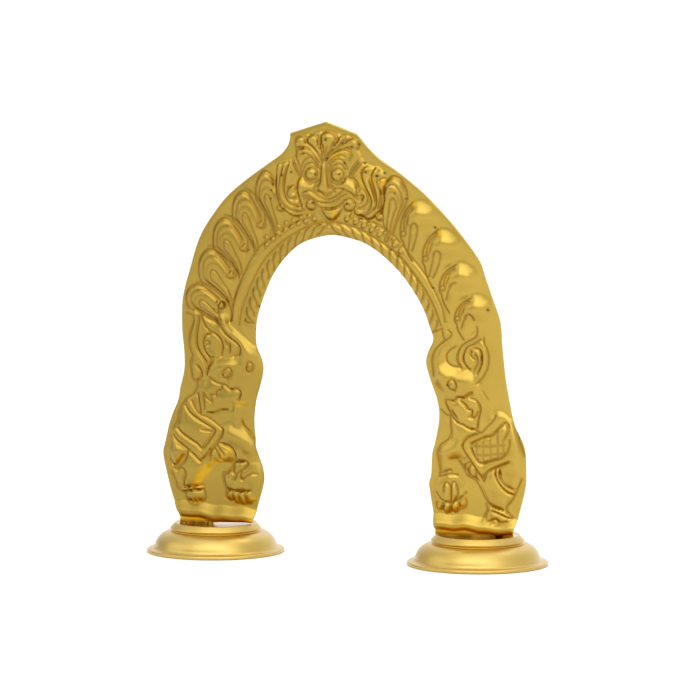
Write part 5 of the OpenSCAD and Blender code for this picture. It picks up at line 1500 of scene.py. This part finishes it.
def pedestalProfile(rimReach, height):
    # half a section as (radius, z): over the top, down to the rim and back up inside
    turning = pedestalTurning
    rim = turning["rimHeight"]
    neck = turning["neckReach"]
    wall = turning["wall"]
    hem = turning["hemRadius"]
    shoulder = turning["shoulderRadius"]
    lipReach = turning["lipReach"]
    top = height - turning["topInset"]
    skirt = height - turning["skirtDepth"]
    tuckOut, tuckDown = turning["tuck"]
    points = [(0.0, top), (lipReach - turning["topEdge"], top)]
    points += arcPoints((lipReach, height - turning["lipRadius"]), turning["lipRadius"], *turning["lipArc"])
    points += arcPoints((turning["skirtReach"] - hem, skirt + turning["hemRise"]), hem, *turning["hemArc"])
    points += [(neck + tuckOut, skirt - tuckDown)]
    points += arcPoints((neck, rim), shoulder, *turning["domeArc"])
    points += [(neck + shoulder + out, rim + up) for out, up in turning["flare"]]
    points += arcPoints((rimReach - rim / 2, rim / 2), rim / 2, *turning["rimArc"])
    points += [(neck + shoulder - wall, 0.0)]
    points += arcPoints((neck, rim), shoulder - wall, *turning["insideArc"])
    points += [(lipReach - wall, rim + shoulder - wall), (lipReach - wall, height - wall)]
    points += [(0.0, height - wall)]
    return points


def pedestalAxis(side):
    low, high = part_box(side + "_pedestal")
    return (low.x + high.x) / 2


def spinPedestal(name, node, axisX):
    low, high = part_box(node)
    rimReach = (high.x - low.x) / 2 / mm
    height = high.z / mm
    deselectAll()
    bpy.ops.mesh.primitive_plane_add()
    piece = bpy.context.object
    piece.name = name
    piece.data.clear_geometry()
    verts = [(axisX + r * mm, 0.0, z * mm) for r, z in pedestalProfile(rimReach, height)]
    piece.data.from_pydata(verts, [(i, i + 1) for i in range(len(verts) - 1)], [])
    bpy.ops.object.mode_set(mode="EDIT")
    bpy.ops.mesh.select_all(action="SELECT")
    bpy.ops.mesh.spin(steps=pedestalTurning["turns"], angle=math.tau, center=(axisX, 0, 0), axis=(0, 0, 1))
    bpy.ops.mesh.select_all(action="SELECT")
    bpy.ops.mesh.remove_doubles(threshold=pedestalTurning["weld"] * mm)
    bpy.ops.mesh.normals_make_consistent(inside=False)
    bpy.ops.object.mode_set(mode="OBJECT")
    bpy.ops.object.shade_smooth_by_angle(angle=math.radians(pedestalTurning["sharpAngle"]))
    piece.data.materials.append(spunSatin)
    piece.data.materials.append(polishedTop)
    edge = (pedestalTurning["lipReach"] - pedestalTurning["polishEdge"]) * mm
    floor = (height - pedestalTurning["polishDepth"]) * mm
    for face in piece.data.polygons:
        far = math.hypot(face.center.x - axisX, face.center.y)
        face.material_index = 1 if far < edge and face.center.z > floor else 0
    profile = [(math.hypot(v.co.x - axisX, v.co.y) - v.co.z) / mm for v in piece.data.vertices]
    pointValues(piece.data, "profile", profile)
    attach(piece, "root")
    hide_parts(node)


for side in ("left", "right"):
    spinPedestal(side + "Pedestal", side + "_pedestal", pedestalAxis(side))
print("pedestals spun")

# Solder behind each foot where it touches, and the few blobs that show in front of the left one, mm
solderWork = {
    "runs": {"left": (-13.0, -2.0), "right": (-13.5, 13.5)},
    "spacing": 1.9,
    "blobSize": (1.5, 1.1, 0.75),
    "swell": (0.75, 1.15),      # least and most, as a share of that size
    "strayAcross": 0.3,
    "strayDeep": 0.2,
    "backY": 0.4,
    # picture x and swell
    "frontBlobs": [(184, 0.6), (188, 0.4), (192.5, 0.65), (196.5, 0.45), (200.5, 0.7), (206, 1.0)],
    "frontSize": (1.1, 0.9, 0.6),
    "frontPixelY": 514.0,
    "frontY": -1.7,
    "segments": 16,
    "rings": 10,
    "voxel": 0.14,
    "smoothing": 4,
    "seed": 7,
}


def addBlob(centre, size, swell):
    bpy.ops.mesh.primitive_uv_sphere_add(
        segments=solderWork["segments"], ring_count=solderWork["rings"],
        radius=mm, location=Vector(centre) * mm)
    blob = bpy.context.object
    blob.scale = [swell * s for s in size]
    return blob


def layBlobs(side, axisX, draw):
    first, last = solderWork["runs"][side]
    aside, deeper = solderWork["strayAcross"], solderWork["strayDeep"]
    blobs = []
    for place in np.arange(first, last, solderWork["spacing"]):
        swell = draw.uniform(*solderWork["swell"])
        across = axisX + place + draw.uniform(-aside, aside)
        deep = solderWork["backY"] + draw.uniform(-deeper, deeper)
        blobs.append(addBlob((across, deep, seatZ), solderWork["blobSize"], swell))
    if side == "left":
        for x, swell in solderWork["frontBlobs"]:
            across = onSheet([(x, solderWork["frontPixelY"])], embossing["footLift"])[0, 0]
            blobs.append(addBlob((across, solderWork["frontY"], seatZ), solderWork["frontSize"], swell))
    return blobs


def makeSolder(side, axisX, draw):
    deselectAll()
    blobs = layBlobs(side, axisX, draw)
    for blob in blobs:
        blob.select_set(True)
    bpy.ops.object.join()
    piece = bpy.context.object
    piece.name = side + "Solder"
    bpy.ops.object.transform_apply(location=True, rotation=True, scale=True)
    piece.data.remesh_voxel_size = solderWork["voxel"] * mm
    bpy.ops.object.voxel_remesh()
    smoother = piece.modifiers.new("run", "SMOOTH")
    smoother.iterations = solderWork["smoothing"]
    bpy.ops.object.modifier_apply(modifier=smoother.name)
    bpy.ops.object.shade_smooth()
    piece.data.materials.clear()
    piece.data.materials.append(softSolder)
    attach(piece, "root")
    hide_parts(side + "_solder_seam")


solderDraw = random.Random(solderWork["seed"])
for side in ("left", "right"):
    makeSolder(side, pedestalAxis(side) / mm, solderDraw)
print("feet soldered")
